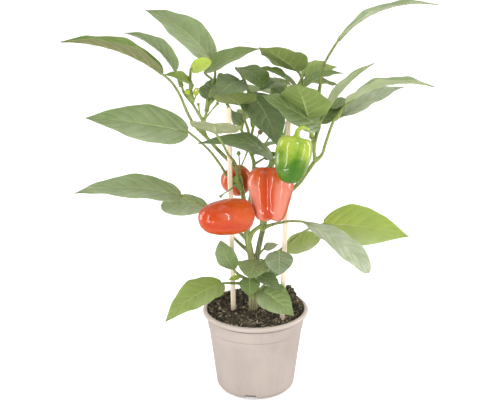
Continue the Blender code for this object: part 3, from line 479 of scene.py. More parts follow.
def colour_input(name, description, default):
    """Colour that a user can change."""
    return bpy.props.FloatVectorProperty(name=name, description=description, default=default,
                                         subtype="COLOR", min=0.0, max=1.0)


def length_input(name, description, default):
    """Length that a user can change, given here in millimetres."""
    return bpy.props.FloatProperty(name=name, description=description, default=default * MM,
                                   unit="LENGTH", min=0.0, precision=5)


def share_input(name, description, default):
    """Share from 0 to 1 that a user can change."""
    return bpy.props.FloatProperty(name=name, description=description, default=default,
                                   subtype="FACTOR", min=0.0, max=1.0)


def count_input(name, description, default):
    """Whole number that a user can change."""
    return bpy.props.IntProperty(name=name, description=description, default=default, min=0)


class PotSettings(bpy.types.PropertyGroup):
    """Colours and finish of the nursery pot."""
    colour: colour_input("Plastic", "Colour of the moulded plastic", (0.39, 0.325, 0.29))
    # Paler colour of the mottle, also used for the painted highlight on the top of the lip
    pale_and_lip_highlight: colour_input("Worn edge", "Colour of the lip and of rubbed edges", (0.60, 0.52, 0.46))
    # Colour of the painted shade under the lip and at the step
    painted_shade: colour_input("Grime", "Colour of the dust under the lip and at the step",
                        (0.12, 0.08, 0.065))
    rib: length_input("Ring height", "Height of the faint rings that moulding leaves", 0.12)


class SoilSettings(bpy.types.PropertyGroup):
    """Colours and crumbs of the potting mix."""
    dark: colour_input("Peat", "Colour of the moist peat", (0.013, 0.010, 0.006))
    light: colour_input("Bark", "Colour of bark and dry fibres", (0.50, 0.42, 0.27))
    crumb: length_input("Crumb size", "Largest crumb of peat", 4.2)
    crumbs: count_input("Crumbs", "Crumbs for each square metre of soil, in thousands", 120)
    fibre: length_input("Fibre length", "Longest fibre of bark", 8.5)
    fibres: count_input("Fibres", "Fibres for each square metre of soil, in thousands", 38)
    grit: count_input("Grit", "Pale grains for each square metre of soil, in thousands", 9)
    chips: count_input("Chips", "Bark chips for each square metre of soil, in thousands", 14)


class CaneSettings(bpy.types.PropertyGroup):
    """Colours and splits of the two canes."""
    pale: colour_input("Pale wood", "Colour of the early wood", (0.96, 0.86, 0.70))
    dark: colour_input("Dark wood", "Colour of the late wood", (0.80, 0.64, 0.44))
    split: length_input("Split depth", "Depth of the splits along the grain", 0.35)


class StemSettings(bpy.types.PropertyGroup):
    """Colours and skin of the stems."""
    young: colour_input("Young stem", "Colour of green stems and leaf stalks", (0.20, 0.26, 0.06))
    bark: colour_input("Bark", "Colour of the woody foot", (0.31, 0.29, 0.14))
    streak: colour_input("Streaks", "Colour of the dark streaks on the leaders",
                         (0.08, 0.07, 0.045))
    skin: length_input("Skin detail", "Size of the cells that the stems are fused at", 0.54)


class LeafSettings(bpy.types.PropertyGroup):
    """Colours, thickness and veins of the leaves."""
    upper: colour_input("Upper face", "Colour of a grown leaf from above", (0.134, 0.20, 0.045))
    deep: colour_input("Deep green", "Colour of the darkest leaves", (0.035, 0.075, 0.024))
    young: colour_input("Young leaf", "Colour of the youngest leaves", (0.39, 0.50, 0.042))
    under: colour_input("Under face", "Colour of a leaf from below", (0.18, 0.227, 0.066))
    flush: colour_input("Flushed face", "Colour of the under faces that are flushed with purple",
                        (0.14, 0.115, 0.068))
    # Colour of the painted grey sheen on the pale leaves
    sheen: colour_input("Pale leaf", "Colour of the leaves that shine grey", (0.475, 0.505, 0.387))
    vein: colour_input("Veins", "Colour of the midrib and the large veins", (0.45, 0.53, 0.21))
    thickness: length_input("Thickness", "Thickness of the blade", 0.5)
    quilt: length_input("Quilting", "Height of the blade between two veins", 0.45)
    pairs: bpy.props.FloatProperty(name="Vein pairs", description="Side veins on each half",
                                   default=7.0, min=2.0, max=14.0)


class FruitSettings(bpy.types.PropertyGroup):
    """Colours and gloss of the fruits."""
    red: colour_input("Red", "Colour of the ripe skin", (0.50, 0.052, 0.004))
    orange: colour_input("Orange", "Colour of the skin that ripens last", (0.56, 0.085, 0.012))
    # Near the stalk, at the top of the green fruit, this colour is partly its own lime and partly a
    # painted highlight
    lime_and_highlight: colour_input("Lime", "Colour of the unripe skin near its stalk", (0.36, 0.46, 0.05))
    grass: colour_input("Green", "Colour of the unripe skin near its end", (0.055, 0.16, 0.001))
    gloss: share_input("Gloss", "Weight of the wax coat", 0.8)
    # How strong the painted pink reflection on the cheeks of the largest red fruit is
    cheek_reflection: share_input("Bloom", "How pale the cheeks of the largest red fruit are", 0.38)


class StageSettings(bpy.types.PropertyGroup):
    """Floor and light of the studio."""
    floor: colour_input("Floor", "Colour of the plain floor", (0.90, 0.90, 0.90))
    sky: share_input("Sky", "Strength of the even light from all round", 0.95)
    key: bpy.props.FloatProperty(name="Soft boxes", description="Power of the soft boxes",
                                 default=1.8, min=0.0, unit="POWER")
    gleam: bpy.props.FloatProperty(name="Strips", description="Power of the narrow lights that "
                                   "gleam on the fruits", default=5.6, min=0.0, unit="POWER")
    glow: bpy.props.FloatProperty(name="Backdrop", description="Brightness of the floor and the "
                                  "backdrop as the camera sees them", default=0.4, min=0.0)


SETTINGS = {
    "pepper_pot": PotSettings,
    "pepper_soil": SoilSettings,
    "pepper_canes": CaneSettings,
    "pepper_stems": StemSettings,
    "pepper_leaves": LeafSettings,
    "pepper_fruits": FruitSettings,
    "pepper_stage": StageSettings,
}


def finish_piece(obj, slot, *nodes):
    """Make a piece ride on the plant's one body and hide the nodes it stands for; the finish it is
    given is not used.
    """
    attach(obj, "root")
    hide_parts(*nodes)


def new_object(name, data):
    """Object of a mesh, a light or a camera, put in the scene."""
    obj = bpy.data.objects.new(name, data)
    bpy.context.scene.collection.objects.link(obj)
    return obj


def mesh_object(name, points, faces, materials=(), smooth=True):
    """New object from points in millimetres."""
    mesh = bpy.data.meshes.new(name)
    mesh.from_pydata((np.asarray(points, dtype=float) * MM).tolist(), [], faces)
    mesh.update()
    for material in materials:
        mesh.materials.append(material)
    if smooth:
        mesh.shade_smooth()
    return new_object(name, mesh)


def mark(mesh, name, values, kind="FLOAT", part="value"):
    """Store a number or a colour for each point of a mesh."""
    mesh.attributes.new(name, kind, "POINT").data.foreach_set(part, values)


def lay_map(mesh, name, places):
    """Give a mesh a map from the place that each of its points has on it."""
    corners = np.empty(len(mesh.loops), dtype=np.int32)
    mesh.loops.foreach_get("vertex_index", corners)
    mesh.uv_layers.new(name=name).data.foreach_set("uv", np.array(places)[corners].ravel())


def tube_faces(rings, sides):
    """Faces of a tube with flat ends, whose points run ring by ring."""
    faces = [tuple(reversed(range(sides)))]
    for ring in range(rings - 1):
        for k in range(sides):
            a, b = ring * sides + k, ring * sides + (k + 1) % sides
            faces.append((a, b, b + sides, a + sides))
    last = (rings - 1) * sides
    return faces + [tuple(range(last, last + sides))]


def ball_faces(rings, sides):
    """Faces of a round body: a point, rings of points, and a point at the other end."""
    faces = []
    last = rings * sides + 1
    for k in range(sides):
        after = (k + 1) % sides
        faces.append((0, 1 + after, 1 + k))
        for ring in range(rings - 1):
            a, b = 1 + ring * sides + k, 1 + ring * sides + after
            faces.append((a, b, b + sides, a + sides))
        faces.append((last - sides + k, last - sides + after, last))
    return faces


def sheet_faces(rows, columns, start=0):
    """Faces of a closed sheet from two grids of points, upper then under, and which are under."""
    def at(row, column, under):
        return start + (under * rows + row) * columns + column

    faces, sides = [], []
    for row in range(rows - 1):
        for column in range(columns - 1):
            corners = ((row, column), (row, column + 1), (row + 1, column + 1), (row + 1, column))
            faces.append(tuple(at(a, b, 0) for a, b in corners))
            faces.append(tuple(at(a, b, 1) for a, b in reversed(corners)))
            sides += (0, 1)
    rim = [(0, column) for column in range(columns)]
    rim += [(row, columns - 1) for row in range(1, rows)]
    rim += [(rows - 1, column) for column in range(columns - 2, -1, -1)]
    rim += [(row, 0) for row in range(rows - 2, 0, -1)]
    for (a, b), (c, d) in zip(rim, rim[1:] + rim[:1]):
        faces.append((at(a, b, 1), at(c, d, 1), at(c, d, 0), at(a, b, 0)))
        sides.append(0)
    return faces, sides


def circle(sides):
    """Cosine and sine of each of the even turns round a circle."""
    turns = [math.tau * k / sides for k in range(sides)]
    return [(math.cos(turn), math.sin(turn)) for turn in turns]


def settle(obj):
    """Turn the evaluated result of an object's modifiers into its plain mesh."""
    depsgraph = bpy.context.evaluated_depsgraph_get()
    result = bpy.data.meshes.new_from_object(obj.evaluated_get(depsgraph), depsgraph=depsgraph)
    obj.modifiers.clear()
    old = obj.data
    obj.data = result
    result.name = obj.name
    bpy.data.meshes.remove(old)
    return obj


def smooth_path(points, spans):
    """Catmull-Rom curve through the points, with the given steps in each span."""
    knots = [Vector(point) for point in points]
    if len(knots) < 3:
        return [knots[0].lerp(knots[-1], step / spans) for step in range(spans + 1)]
    ends = [2 * knots[0] - knots[1]] + knots + [2 * knots[-1] - knots[-2]]
    path = []
    for a, b, c, d in zip(ends, ends[1:], ends[2:], ends[3:]):
        for step in range(spans):
            t = step / spans
            path.append(0.5 * (2 * b + (c - a) * t + (2 * a - 5 * b + 4 * c - d) * t * t
                               + (3 * b - a - 3 * c + d) * t ** 3))
    path.append(knots[-1])
    return path


def spread(values, count):
    """The values, read evenly at count places along their list."""
    return np.interp(np.linspace(0, len(values) - 1, count), range(len(values)), values).tolist()


def unit_rows(values):
    """Each row of an array of directions, brought to unit length."""
    return values / np.linalg.norm(values, axis=1, keepdims=True)


# Node tools

def fit(tree, node, inputs):
    """Set a node's inputs, each to a value or to another node's output."""
    for key, value in inputs.items():
        if isinstance(value, bpy.types.NodeSocket):
            tree.links.new(value, node.inputs[key])
        else:
            node.inputs[key].default_value = value


def new_node(tree, kind, inputs=None, **settings):
    """Add a node with its settings and inputs, and give its outputs."""
    made = tree.nodes.new(kind)
    for name, value in settings.items():
        setattr(made, name, value)
    fit(tree, made, inputs or {})
    return made.outputs


def calc(tree, operation, *values):
    """Output of a Math node."""
    return new_node(tree, "ShaderNodeMath", dict(enumerate(values)), operation=operation)[0]


def ramp(tree, value, low, high, start=0.0, end=1.0, kind="SMOOTHSTEP"):
    """Value read from one range into another, smoothly, and held at its ends."""
    return new_node(tree, "ShaderNodeMapRange", {0: value, 1: low, 2: high, 3: start, 4: end},
                    interpolation_type=kind)[0]


def blend(tree, share, first, second, kind="MIX"):
    """Mix of two colours."""
    colours = [value if isinstance(value, bpy.types.NodeSocket) else (*value, 1.0)
               for value in (first, second)]
    return new_node(tree, "ShaderNodeMix", {0: share, 6: colours[0], 7: colours[1]},
                    data_type="RGBA", blend_type=kind)[2]


def lay(tree, shade, mask, weight, colour):
    """Colour laid over another, as far as a mask and its weight say."""
    return blend(tree, calc(tree, "MULTIPLY", mask, weight), shade, colour)


def object_place(tree):
    """Place in the piece's own space."""
    return new_node(tree, "ShaderNodeTexCoord")["Object"]


def read_mark(tree, name):
    """Number that the mesh stores for each of its points."""
    return new_node(tree, "ShaderNodeAttribute", attribute_name=name)["Fac"]


def sentence(label):
    """Label of an input from its name in a call."""
    return label.replace("_", " ").capitalize()


def new_group(name, inputs, outputs):
    """Shader node group with number inputs and their defaults, and number outputs."""
    tree = bpy.data.node_groups.new(name, "ShaderNodeTree")
    for label, default in inputs.items():
        socket = tree.interface.new_socket(label, in_out="INPUT", socket_type="NodeSocketFloat")
        socket.default_value = default
    for label in outputs:
        tree.interface.new_socket(label, in_out="OUTPUT", socket_type="NodeSocketFloat")
    return tree, tree.nodes.new("NodeGroupInput").outputs, tree.nodes.new("NodeGroupOutput")


def use_group(tree, name, **inputs):
    """Place a shader node group in a material, with its own values, and give its outputs."""
    return new_node(tree, "ShaderNodeGroup",
                    {sentence(label): value for label, value in inputs.items()},
                    node_tree=bpy.data.node_groups[name])


def vein_group():
    """Pattern of a leaf's veins on its own map: midrib, side veins, fine net and quilting."""
    tree, given, out = new_group("Leaf veins", {"Pairs": 7.0, "Width": 0.06},
                                 ("Midrib", "Veins", "Net", "Quilt"))
    place = new_node(tree, "ShaderNodeUVMap", uv_map="blade")
    split = new_node(tree, "ShaderNodeSeparateXYZ", {0: place[0]})
    signed = calc(tree, "MULTIPLY_ADD", split[0], 2.0, -1.0)
    across = calc(tree, "ABSOLUTE", signed)
    along = split[1]
    wide = calc(tree, "MULTIPLY_ADD", along, -0.045, 0.06)
    swept = calc(tree, "POWER", across, VEIN_CURVE)
    forward = calc(tree, "MULTIPLY_ADD", swept, -VEIN_SWEEP, along)
    shift = calc(tree, "MULTIPLY", calc(tree, "GREATER_THAN", signed, 0.0), VEIN_SHIFT)
    phase = calc(tree, "ADD", calc(tree, "MULTIPLY", forward, given["Pairs"]), shift)
    away = calc(tree, "PINGPONG", phase, 0.5)
    narrow = calc(tree, "MULTIPLY_ADD", across, -0.7, 1.0)
    side = ramp(tree, away, calc(tree, "MULTIPLY", given["Width"], narrow), 0.0)
    ends = ramp(tree, across, 1.0, 0.8)
    quilt = calc(tree, "SINE", calc(tree, "MULTIPLY", away, math.pi))
    cells = new_node(tree, "ShaderNodeTexVoronoi", {"Vector": object_place(tree), "Scale": 420.0},
                     feature="DISTANCE_TO_EDGE")
    fit(tree, out, {"Midrib": ramp(tree, across, wide, 0.0),
                    "Veins": calc(tree, "MULTIPLY", side, ends),
                    "Quilt": calc(tree, "MULTIPLY", quilt, ends),
                    "Net": ramp(tree, cells["Distance"], 0.09, 0.0)})


def mottle_group():
    """Soft cloudy variation and a finer grain, in the piece's own space."""
    tree, given, out = new_group("Mottle", {"Scale": 40.0, "Fine scale": 900.0},
                                 ("Clouds", "Grain"))
    spot = object_place(tree)
    for label, scale, detail in (("Clouds", "Scale", 3.0), ("Grain", "Fine scale", 2.0)):
        cloud = new_node(tree, "ShaderNodeTexNoise", {"Vector": spot, "Scale": given[scale],
                                                      "Detail": detail, "Roughness": 0.55})
        fit(tree, out, {label: ramp(tree, cloud[0], 0.3, 0.7, kind="LINEAR")})


def streak_group():
    """Streaks that run up and down, as wood grain and stem fibres do."""
    tree, given, out = new_group("Streaks", {"Across": 900.0, "Along": 30.0},
                                 ("Streaks", "Fine streaks"))
    spot = object_place(tree)
    for label, finer in (("Streaks", 1.0), ("Fine streaks", 3.1)):
        across, along = [calc(tree, "MULTIPLY", given[way], finer)
                         for way in ("Across", "Along")]
        size = new_node(tree, "ShaderNodeCombineXYZ", {0: across, 1: across, 2: along})
        drawn = new_node(tree, "ShaderNodeVectorMath", {0: spot, 1: size[0]},
                         operation="MULTIPLY")
        grain = new_node(tree, "ShaderNodeTexNoise", {"Vector": drawn[0], "Scale": 1.0,
                                                      "Detail": 3.0, "Roughness": 0.6})
        fit(tree, out, {label: ramp(tree, grain[0], 0.32, 0.68, kind="LINEAR")})


def speck_group():
    """Small round specks, scattered in the piece's own space."""
    tree, given, out = new_group("Specks", {"Scale": 600.0, "Size": 0.25}, ("Specks",))
    cells = new_node(tree, "ShaderNodeTexVoronoi",
                     {"Vector": object_place(tree), "Scale": given["Scale"]})
    chosen = new_node(tree, "ShaderNodeSeparateColor", {0: cells["Color"]})
    some = calc(tree, "GREATER_THAN", chosen[0], 0.6)
    dot = ramp(tree, cells["Distance"], given["Size"], 0.0)
    fit(tree, out, {"Specks": calc(tree, "MULTIPLY", dot, some)})


def height_group():
    """Share of the way between two heights in the piece's own space."""
    tree, given, out = new_group("Height", {"Low": 0.0, "High": 0.1}, ("Share",))
    split = new_node(tree, "ShaderNodeSeparateXYZ", {0: object_place(tree)})
    fit(tree, out, {"Share": ramp(tree, split[2], given["Low"],
                                  given["High"])})


def height_share(tree, low, high):
    """Share of the way from one height to another, both in millimetres."""
    return use_group(tree, "Height", low=low * MM, high=high * MM)["Share"]


def mixed(first, second, share):
    """Colour between two colours."""
    return tuple((1 - share) * a + share * b for a, b in zip(first, second))


def new_material(name):
    """Material with its node tree and its Principled shader."""
    material = bpy.data.materials.new(name)
    material.use_nodes = True
    tree = material.node_tree
    return material, tree, tree.nodes["Principled BSDF"]


def bump(tree, shader, height, distance):
    """Fine relief on a shader; the distance is in millimetres."""
    made = new_node(tree, "ShaderNodeBump", {"Height": height, "Distance": distance * MM,
                                             "Strength": 1.0})
    fit(tree, shader, {"Normal": made[0]})


def pot_plastic(settings):
    """Satin plastic with recycled flecks, soft streaks, a paler lip that is a painted highlight,
    and bands of painted shade under the lip and at the step.
    """
    material, tree, shader = new_material("pot_plastic")
    clouds = use_group(tree, "Mottle", scale=22.0, fine_scale=1400.0)
    flecks = use_group(tree, "Specks", scale=900.0, size=0.3)
    flow = use_group(tree, "Streaks", across=120.0, along=9.0)
    lip = height_share(tree, POT_HEIGHT - 4, POT_HEIGHT - 0.5)
    darker = tuple(part * 0.72 for part in settings.colour)
    shade = lay(tree, settings.colour, clouds["Clouds"], 0.35, settings.pale_and_lip_highlight)
    shade = lay(tree, shade, flow["Streaks"], 0.16, darker)
    shade = lay(tree, shade, flecks["Specks"], 0.3, darker)
    # Painted highlight: the top of the rolled lip is paler
    shade = lay(tree, shade, lip, 0.6, settings.pale_and_lip_highlight)
    # Painted shade: a dark band under the lip and another at the step
    for middle, reach, weight in PAINTED_SHADE_LINES:
        rise = height_share(tree, middle - reach, middle)
        fall = height_share(tree, middle + reach * 0.5, middle)
        line = calc(tree, "MULTIPLY", rise, fall)
        shade = lay(tree, shade, line, weight, settings.painted_shade)
    fit(tree, shader, {"Base Color": shade,
                       "Roughness": ramp(tree, clouds["Clouds"], 0.0, 1.0, 0.36, 0.52)})
    bump(tree, shader, clouds["Grain"], 0.03)
    return material


def soil_earth(settings):
    """Moist peat in dark and brown clouds, with paler specks."""
    material, tree, shader = new_material("soil_earth")
    clouds = use_group(tree, "Mottle", scale=160.0, fine_scale=1600.0)
    dots = use_group(tree, "Specks", scale=420.0, size=0.35)
    brown = mixed(settings.dark, settings.light, 0.3)
    shade = blend(tree, clouds["Clouds"], settings.dark, brown)
    shade = lay(tree, shade, dots["Specks"], 0.5, settings.light)
    fit(tree, shader, {"Base Color": shade, "Roughness": 0.95})
    bump(tree, shader, clouds["Grain"], 0.5)
    return material


def soil_crumbs(name, dark, light, roughness=0.9):
    """Crumbs, fibres or grit, each with a shade of its own between two colours."""
    material, tree, shader = new_material(name)
    clouds = use_group(tree, "Mottle", scale=300.0, fine_scale=2200.0)
    heaped = height_share(tree, *CRUMB_SHADE)
    tint = ramp(tree, read_mark(tree, "tint"), 0.35, 1.0, kind="LINEAR")
    shade = lay(tree, blend(tree, tint, dark, light), clouds["Clouds"], 0.4, dark)
    shade = lay(tree, shade, heaped, 0.5, dark)
    fit(tree, shader, {"Base Color": shade, "Roughness": roughness})
    bump(tree, shader, clouds["Grain"], 0.2)
    return material


def cane_wood(settings):
    """Raw split wood with dark grain lines and a dirty foot."""
    material, tree, shader = new_material("cane_wood")
    grain = use_group(tree, "Streaks", across=700.0, along=14.0)
    clouds = use_group(tree, "Mottle", scale=35.0, fine_scale=1500.0)
    soiled = height_share(tree, *CANE_SOILED)
    shade = blend(tree, grain["Streaks"], settings.dark, settings.pale)
    shade = lay(tree, shade, clouds["Clouds"], 0.45, settings.pale)
    fine = ramp(tree, grain["Fine streaks"], 0.4, 0.0)
    shade = lay(tree, shade, fine, 0.35, settings.dark)
    shade = lay(tree, shade, soiled, 0.3, SOILED_WOOD)
    fit(tree, shader, {"Base Color": shade, "Roughness": 0.72})
    bump(tree, shader, grain["Fine streaks"], 0.12)
    return material


def stem_skin(settings):
    """Ridged green skin that turns to brown bark at the foot, with dark streaks."""
    material, tree, shader = new_material("stem_skin")
    ridges = use_group(tree, "Streaks", across=520.0, along=22.0)
    clouds = use_group(tree, "Mottle", scale=70.0, fine_scale=2600.0)
    pale = tuple(min(1.0, part * 1.45) for part in settings.young)
    shade = blend(tree, ridges["Streaks"], settings.young, pale)
    uneven = calc(tree, "MULTIPLY_ADD", clouds["Clouds"], 0.5, -0.25)
    wood = ramp(tree, calc(tree, "ADD", read_mark(tree, "woody"), uneven), 0.25, 0.75)
    shade = blend(tree, wood, shade, settings.bark)
    lines = ramp(tree, ridges["Streaks"], 0.75, 0.35)
    stains = calc(tree, "MULTIPLY", lines, read_mark(tree, "dark"))
    shade = lay(tree, shade, stains, 0.85, settings.streak)
    fit(tree, shader, {"Base Color": shade, "Roughness": ramp(tree, wood, 0.0, 1.0, 0.42, 0.8)})
    bump(tree, shader, ridges["Fine streaks"], 0.12)
    return material


def leaf_face(name, settings, upper):
    """One face of the leaves: veined, quilted, with each leaf's own age and depth of green."""
    material, tree, shader = new_material(name)
    tone = new_node(tree, "ShaderNodeAttribute", attribute_name="tone")
    young, deep, pale = new_node(tree, "ShaderNodeSeparateColor", {0: tone["Color"]})
    veins = use_group(tree, "Leaf veins", pairs=settings.pairs, width=0.10 if upper else 0.13)
    clouds = use_group(tree, "Mottle", scale=55.0, fine_scale=3200.0)
    cloudy = clouds["Clouds"]
    body = settings.upper if upper else settings.under
    shade = blend(tree, deep, body, settings.deep if upper else settings.upper)
    shade = lay(tree, shade, young, 1.0 if upper else 0.45, settings.young)
    if not upper:
        shade = blend(tree, read_mark(tree, "flush"), shade, settings.flush)
    lighter = blend(tree, 1.0, shade, (1.45, 1.35, 1.5), "MULTIPLY")
    shade = lay(tree, shade, cloudy, 0.45, lighter)
    patchy = ramp(tree, cloudy, 0.0, 1.0, 0.55, 1.0, "LINEAR")
    # Painted sheen: pale grey laid over each leaf in patches, as far as its pale tone says
    shade = lay(tree, shade, pale, patchy, settings.sheen)
    shade = lay(tree, shade, ramp(tree, veins["Quilt"], 0.9, 0.0), 0.12, lighter)
    for mask, weight in (("Net", 0.10), ("Veins", 0.17 if upper else 0.32), ("Midrib", 0.75)):
        shade = lay(tree, shade, veins[mask], weight, settings.vein)
    gloss = (0.30, 0.46) if upper else (0.55, 0.7)
    fit(tree, shader, {"Base Color": shade, "Roughness": ramp(tree, cloudy, 0.0, 1.0, *gloss),
                       "Subsurface Weight": 0.25, "Subsurface Radius": (0.6, 1.0, 0.2),
                       "Subsurface Scale": 1.2 * MM,
                       "Specular IOR Level": 0.42 if upper else 0.25})
    relief = calc(tree, "MULTIPLY_ADD", veins["Veins"], -0.6 if upper else 0.8,
                  veins["Quilt"])
    relief = calc(tree, "MULTIPLY_ADD", veins["Net"], -0.12, relief)
    relief = calc(tree, "MULTIPLY_ADD", clouds["Grain"], 0.05, relief)
    bump(tree, shader, relief, 0.35)
    return material


def fleshy_skin(name, scale, colours, roughness, depth, young=None):
    """Flesh that light enters a little: calyxes and buds, ribbed and part yellow, or petals."""
    material, tree, shader = new_material(name)
    clouds = use_group(tree, "Mottle", scale=scale, fine_scale=2400.0)
    shade = blend(tree, clouds["Clouds"], *colours)
    if young:
        shade = blend(tree, read_mark(tree, "young"), shade, young)
        bump(tree, shader, clouds["Grain"], 0.05)
    fit(tree, shader, {"Base Color": shade, "Roughness": roughness, "Subsurface Weight": depth,
                       "Subsurface Scale": 1.0 * MM})
    return material


def fruit_skin(name, low, high, gloss, lively, cheek_reflection=0.0, crease_shade=RIPE_CREASE_SHADE):
    """Waxy skin that changes colour from blossom end to stalk, with pale dots under the wax."""
    material, tree, shader = new_material(name)
    place = new_node(tree, "ShaderNodeUVMap", uv_map="skin")
    split = new_node(tree, "ShaderNodeSeparateXYZ", {0: place[0]})
    clouds = use_group(tree, "Mottle", scale=45.0, fine_scale=1800.0)
    dots = use_group(tree, "Specks", scale=1100.0, size=0.22)
    uneven = calc(tree, "MULTIPLY_ADD", clouds["Clouds"], lively, -0.5 * lively)
    share = ramp(tree, calc(tree, "ADD", split[1], uneven), 0.15, 0.95)
    pale = tuple(min(1.0, 0.55 * part + 0.4) for part in high)
    shade = lay(tree, blend(tree, share, low, high), dots["Specks"], 0.10, pale)
    # Painted shade: the colour darkens towards the bottom of each furrow
    dent = read_mark(tree, "furrow")
    deeper = blend(tree, 1.0, shade, crease_shade, "MULTIPLY")
    shade = blend(tree, ramp(tree, dent, 0.40, 0.95), shade, deeper)
    # Painted reflection: a pale pink wash on the lobes, away from the furrows, fading out towards
    # the stalk end
    lobes = calc(tree, "MULTIPLY", ramp(tree, dent, 0.5, 0.1), cheek_reflection)
    shade = lay(tree, shade, lobes, ramp(tree, share, 1.0, 0.6), CHEEK_REFLECTION)
    fit(tree, shader, {"Base Color": shade,
                       "Roughness": ramp(tree, clouds["Grain"], 0.0, 1.0, 0.22, 0.30),
                       "Specular IOR Level": 0.2, "Subsurface Weight": 0.12,
                       "Subsurface Radius": (1.0, 0.35, 0.15), "Subsurface Scale": 2.5 * MM,
                       "Coat Weight": gloss, "Coat Roughness": 0.05, "Coat IOR": 1.5})
    bump(tree, shader, clouds["Clouds"], 0.25)
    return material


# Geometry trees

def new_geometry_tree(name, inputs):
    """Geometry tree with named inputs: label to socket type and default."""
    tree = bpy.data.node_groups.new(name, "GeometryNodeTree")
    tree.interface.new_socket("Geometry", in_out="INPUT", socket_type="NodeSocketGeometry")
    for label, (kind, default) in inputs.items():
        socket = tree.interface.new_socket(label, in_out="INPUT", socket_type=kind)
        if default is not None:
            socket.default_value = default
    tree.interface.new_socket("Geometry", in_out="OUTPUT", socket_type="NodeSocketGeometry")
    return tree, tree.nodes.new("NodeGroupInput").outputs, tree.nodes.new("NodeGroupOutput")


def end_tree(tree, out, result, material):
    """End a geometry tree with real geometry in its material."""
    real = new_node(tree, "GeometryNodeRealizeInstances", {"Geometry": result})
    coat = new_node(tree, "GeometryNodeSetMaterial", {"Geometry": real[0], "Material": material})
    fit(tree, out, {0: coat[0]})


def run_tree(obj, name, **values):
    """Put a geometry tree on an object, set its inputs by identifier, and settle the result."""
    tree = bpy.data.node_groups[name]
    step = obj.modifiers.new(name, "NODES")
    step.node_group = tree
    wanted = {sentence(label): value for label, value in values.items()}
    for item in tree.interface.items_tree:
        if item.in_out == "INPUT" and item.name in wanted:
            step[item.identifier] = wanted[item.name]
    return settle(obj)


def stem_tree():
    """Round stem along every line of the object, as thick as its attribute says."""
    tree, given, out = new_geometry_tree("Round stems", {
        "Sides": ("NodeSocketInt", 12), "Material": ("NodeSocketMaterial", None)})
    curve = new_node(tree, "GeometryNodeMeshToCurve", {"Mesh": given["Geometry"]})
    thick = new_node(tree, "GeometryNodeInputNamedAttribute", {"Name": "thick"}, data_type="FLOAT")
    ring = new_node(tree, "GeometryNodeCurvePrimitiveCircle",
                    {"Resolution": given["Sides"], "Radius": 1.0})
    body = new_node(tree, "GeometryNodeCurveToMesh", {
        "Curve": curve[0], "Profile Curve": ring[0], "Scale": thick[0], "Fill Caps": True})
    end_tree(tree, out, body[0], given["Material"])


def scatter_tree():
    """Crumbs of a collection strewn over a surface, each turned, sized and tinted by chance."""
    tree, given, out = new_geometry_tree("Strewn crumbs", {
        "Crumbs": ("NodeSocketCollection", None), "Density": ("NodeSocketFloat", 1000.0),
        "Smallest": ("NodeSocketFloat", 0.3), "Largest": ("NodeSocketFloat", 1.0),
        "Tilt": ("NodeSocketFloat", math.pi), "Sink": ("NodeSocketFloat", 0.0),
        "Seed": ("NodeSocketInt", 1), "Material": ("NodeSocketMaterial", None)})
    tilt, seed = given["Tilt"], given["Seed"]
    spots = new_node(tree, "GeometryNodeDistributePointsOnFaces", {
        "Mesh": given["Geometry"], "Density": given["Density"], "Seed": seed})
    tint = new_node(tree, "FunctionNodeRandomValue", {"Seed": seed}, data_type="FLOAT")
    marked = new_node(tree, "GeometryNodeStoreNamedAttribute", {
        "Geometry": spots["Points"], "Name": "tint", "Value": tint[1]}, data_type="FLOAT")
    widest = new_node(tree, "ShaderNodeCombineXYZ", {0: tilt, 1: tilt, 2: math.pi})
    lowest = new_node(tree, "ShaderNodeVectorMath", {0: widest[0], "Scale": -1.0},
                      operation="SCALE")
    turn = new_node(tree, "FunctionNodeRandomValue", {0: lowest[0], 1: widest[0], "Seed": seed},
                    data_type="FLOAT_VECTOR")
    rolled = new_node(tree, "FunctionNodeRotateRotation", {
        "Rotation": spots["Rotation"], "Rotate By": turn[0]}, rotation_space="LOCAL")
    size = new_node(tree, "FunctionNodeRandomValue", {
        2: given["Smallest"], 3: given["Largest"], "Seed": seed}, data_type="FLOAT")
    kinds = new_node(tree, "GeometryNodeCollectionInfo", {
        "Collection": given["Crumbs"], "Separate Children": True, "Reset Children": True})
    laid = new_node(tree, "GeometryNodeInstanceOnPoints", {
        "Points": marked[0], "Instance": kinds[0], "Pick Instance": True,
        "Rotation": rolled[0], "Scale": size[1]})
    down = new_node(tree, "ShaderNodeCombineXYZ", {2: given["Sink"]})
    sunk = new_node(tree, "GeometryNodeTranslateInstances", {
        "Instances": laid[0], "Translation": down[0], "Local Space": False})
    end_tree(tree, out, sunk[0], given["Material"])


# Pot

def turned(name, profile, sides, materials=()):
    """Solid of revolution from a closed profile of radius and height, anticlockwise."""
    points, faces, rings = [], [], []
    for radius, height in profile:
        if radius == 0:
            rings.append([len(points)] * sides)
            points.append((0, 0, height))
            continue
        rings.append(range(len(points), len(points) + sides))
        points += [(radius * x, radius * y, height) for x, y in circle(sides)]
    for low, high in zip(rings, rings[1:] + rings[:1]):
        for k in range(sides):
            after = (k + 1) % sides
            face = tuple(dict.fromkeys((low[k], low[after], high[after], high[k])))
            if len(face) > 2:
                faces.append(face)
    return mesh_object(name, points, faces, materials)


def arc(centre, radius, start, end, steps):
    """Points on an arc in the profile plane, angles in degrees."""
    angles = np.radians(np.linspace(start, end, steps + 1))
    return [(centre[0] + radius * math.cos(a), centre[1] + radius * math.sin(a)) for a in angles]


def wall_radius(height):
    """Outer radius of the pot's body below the step."""
    share = (height - FOOT_ROUND) / (STEP_HEIGHT - FOOT_ROUND)
    return FOOT_RADIUS + 1 + (STEP_RADIUS - 1 - FOOT_RADIUS - 1) * share


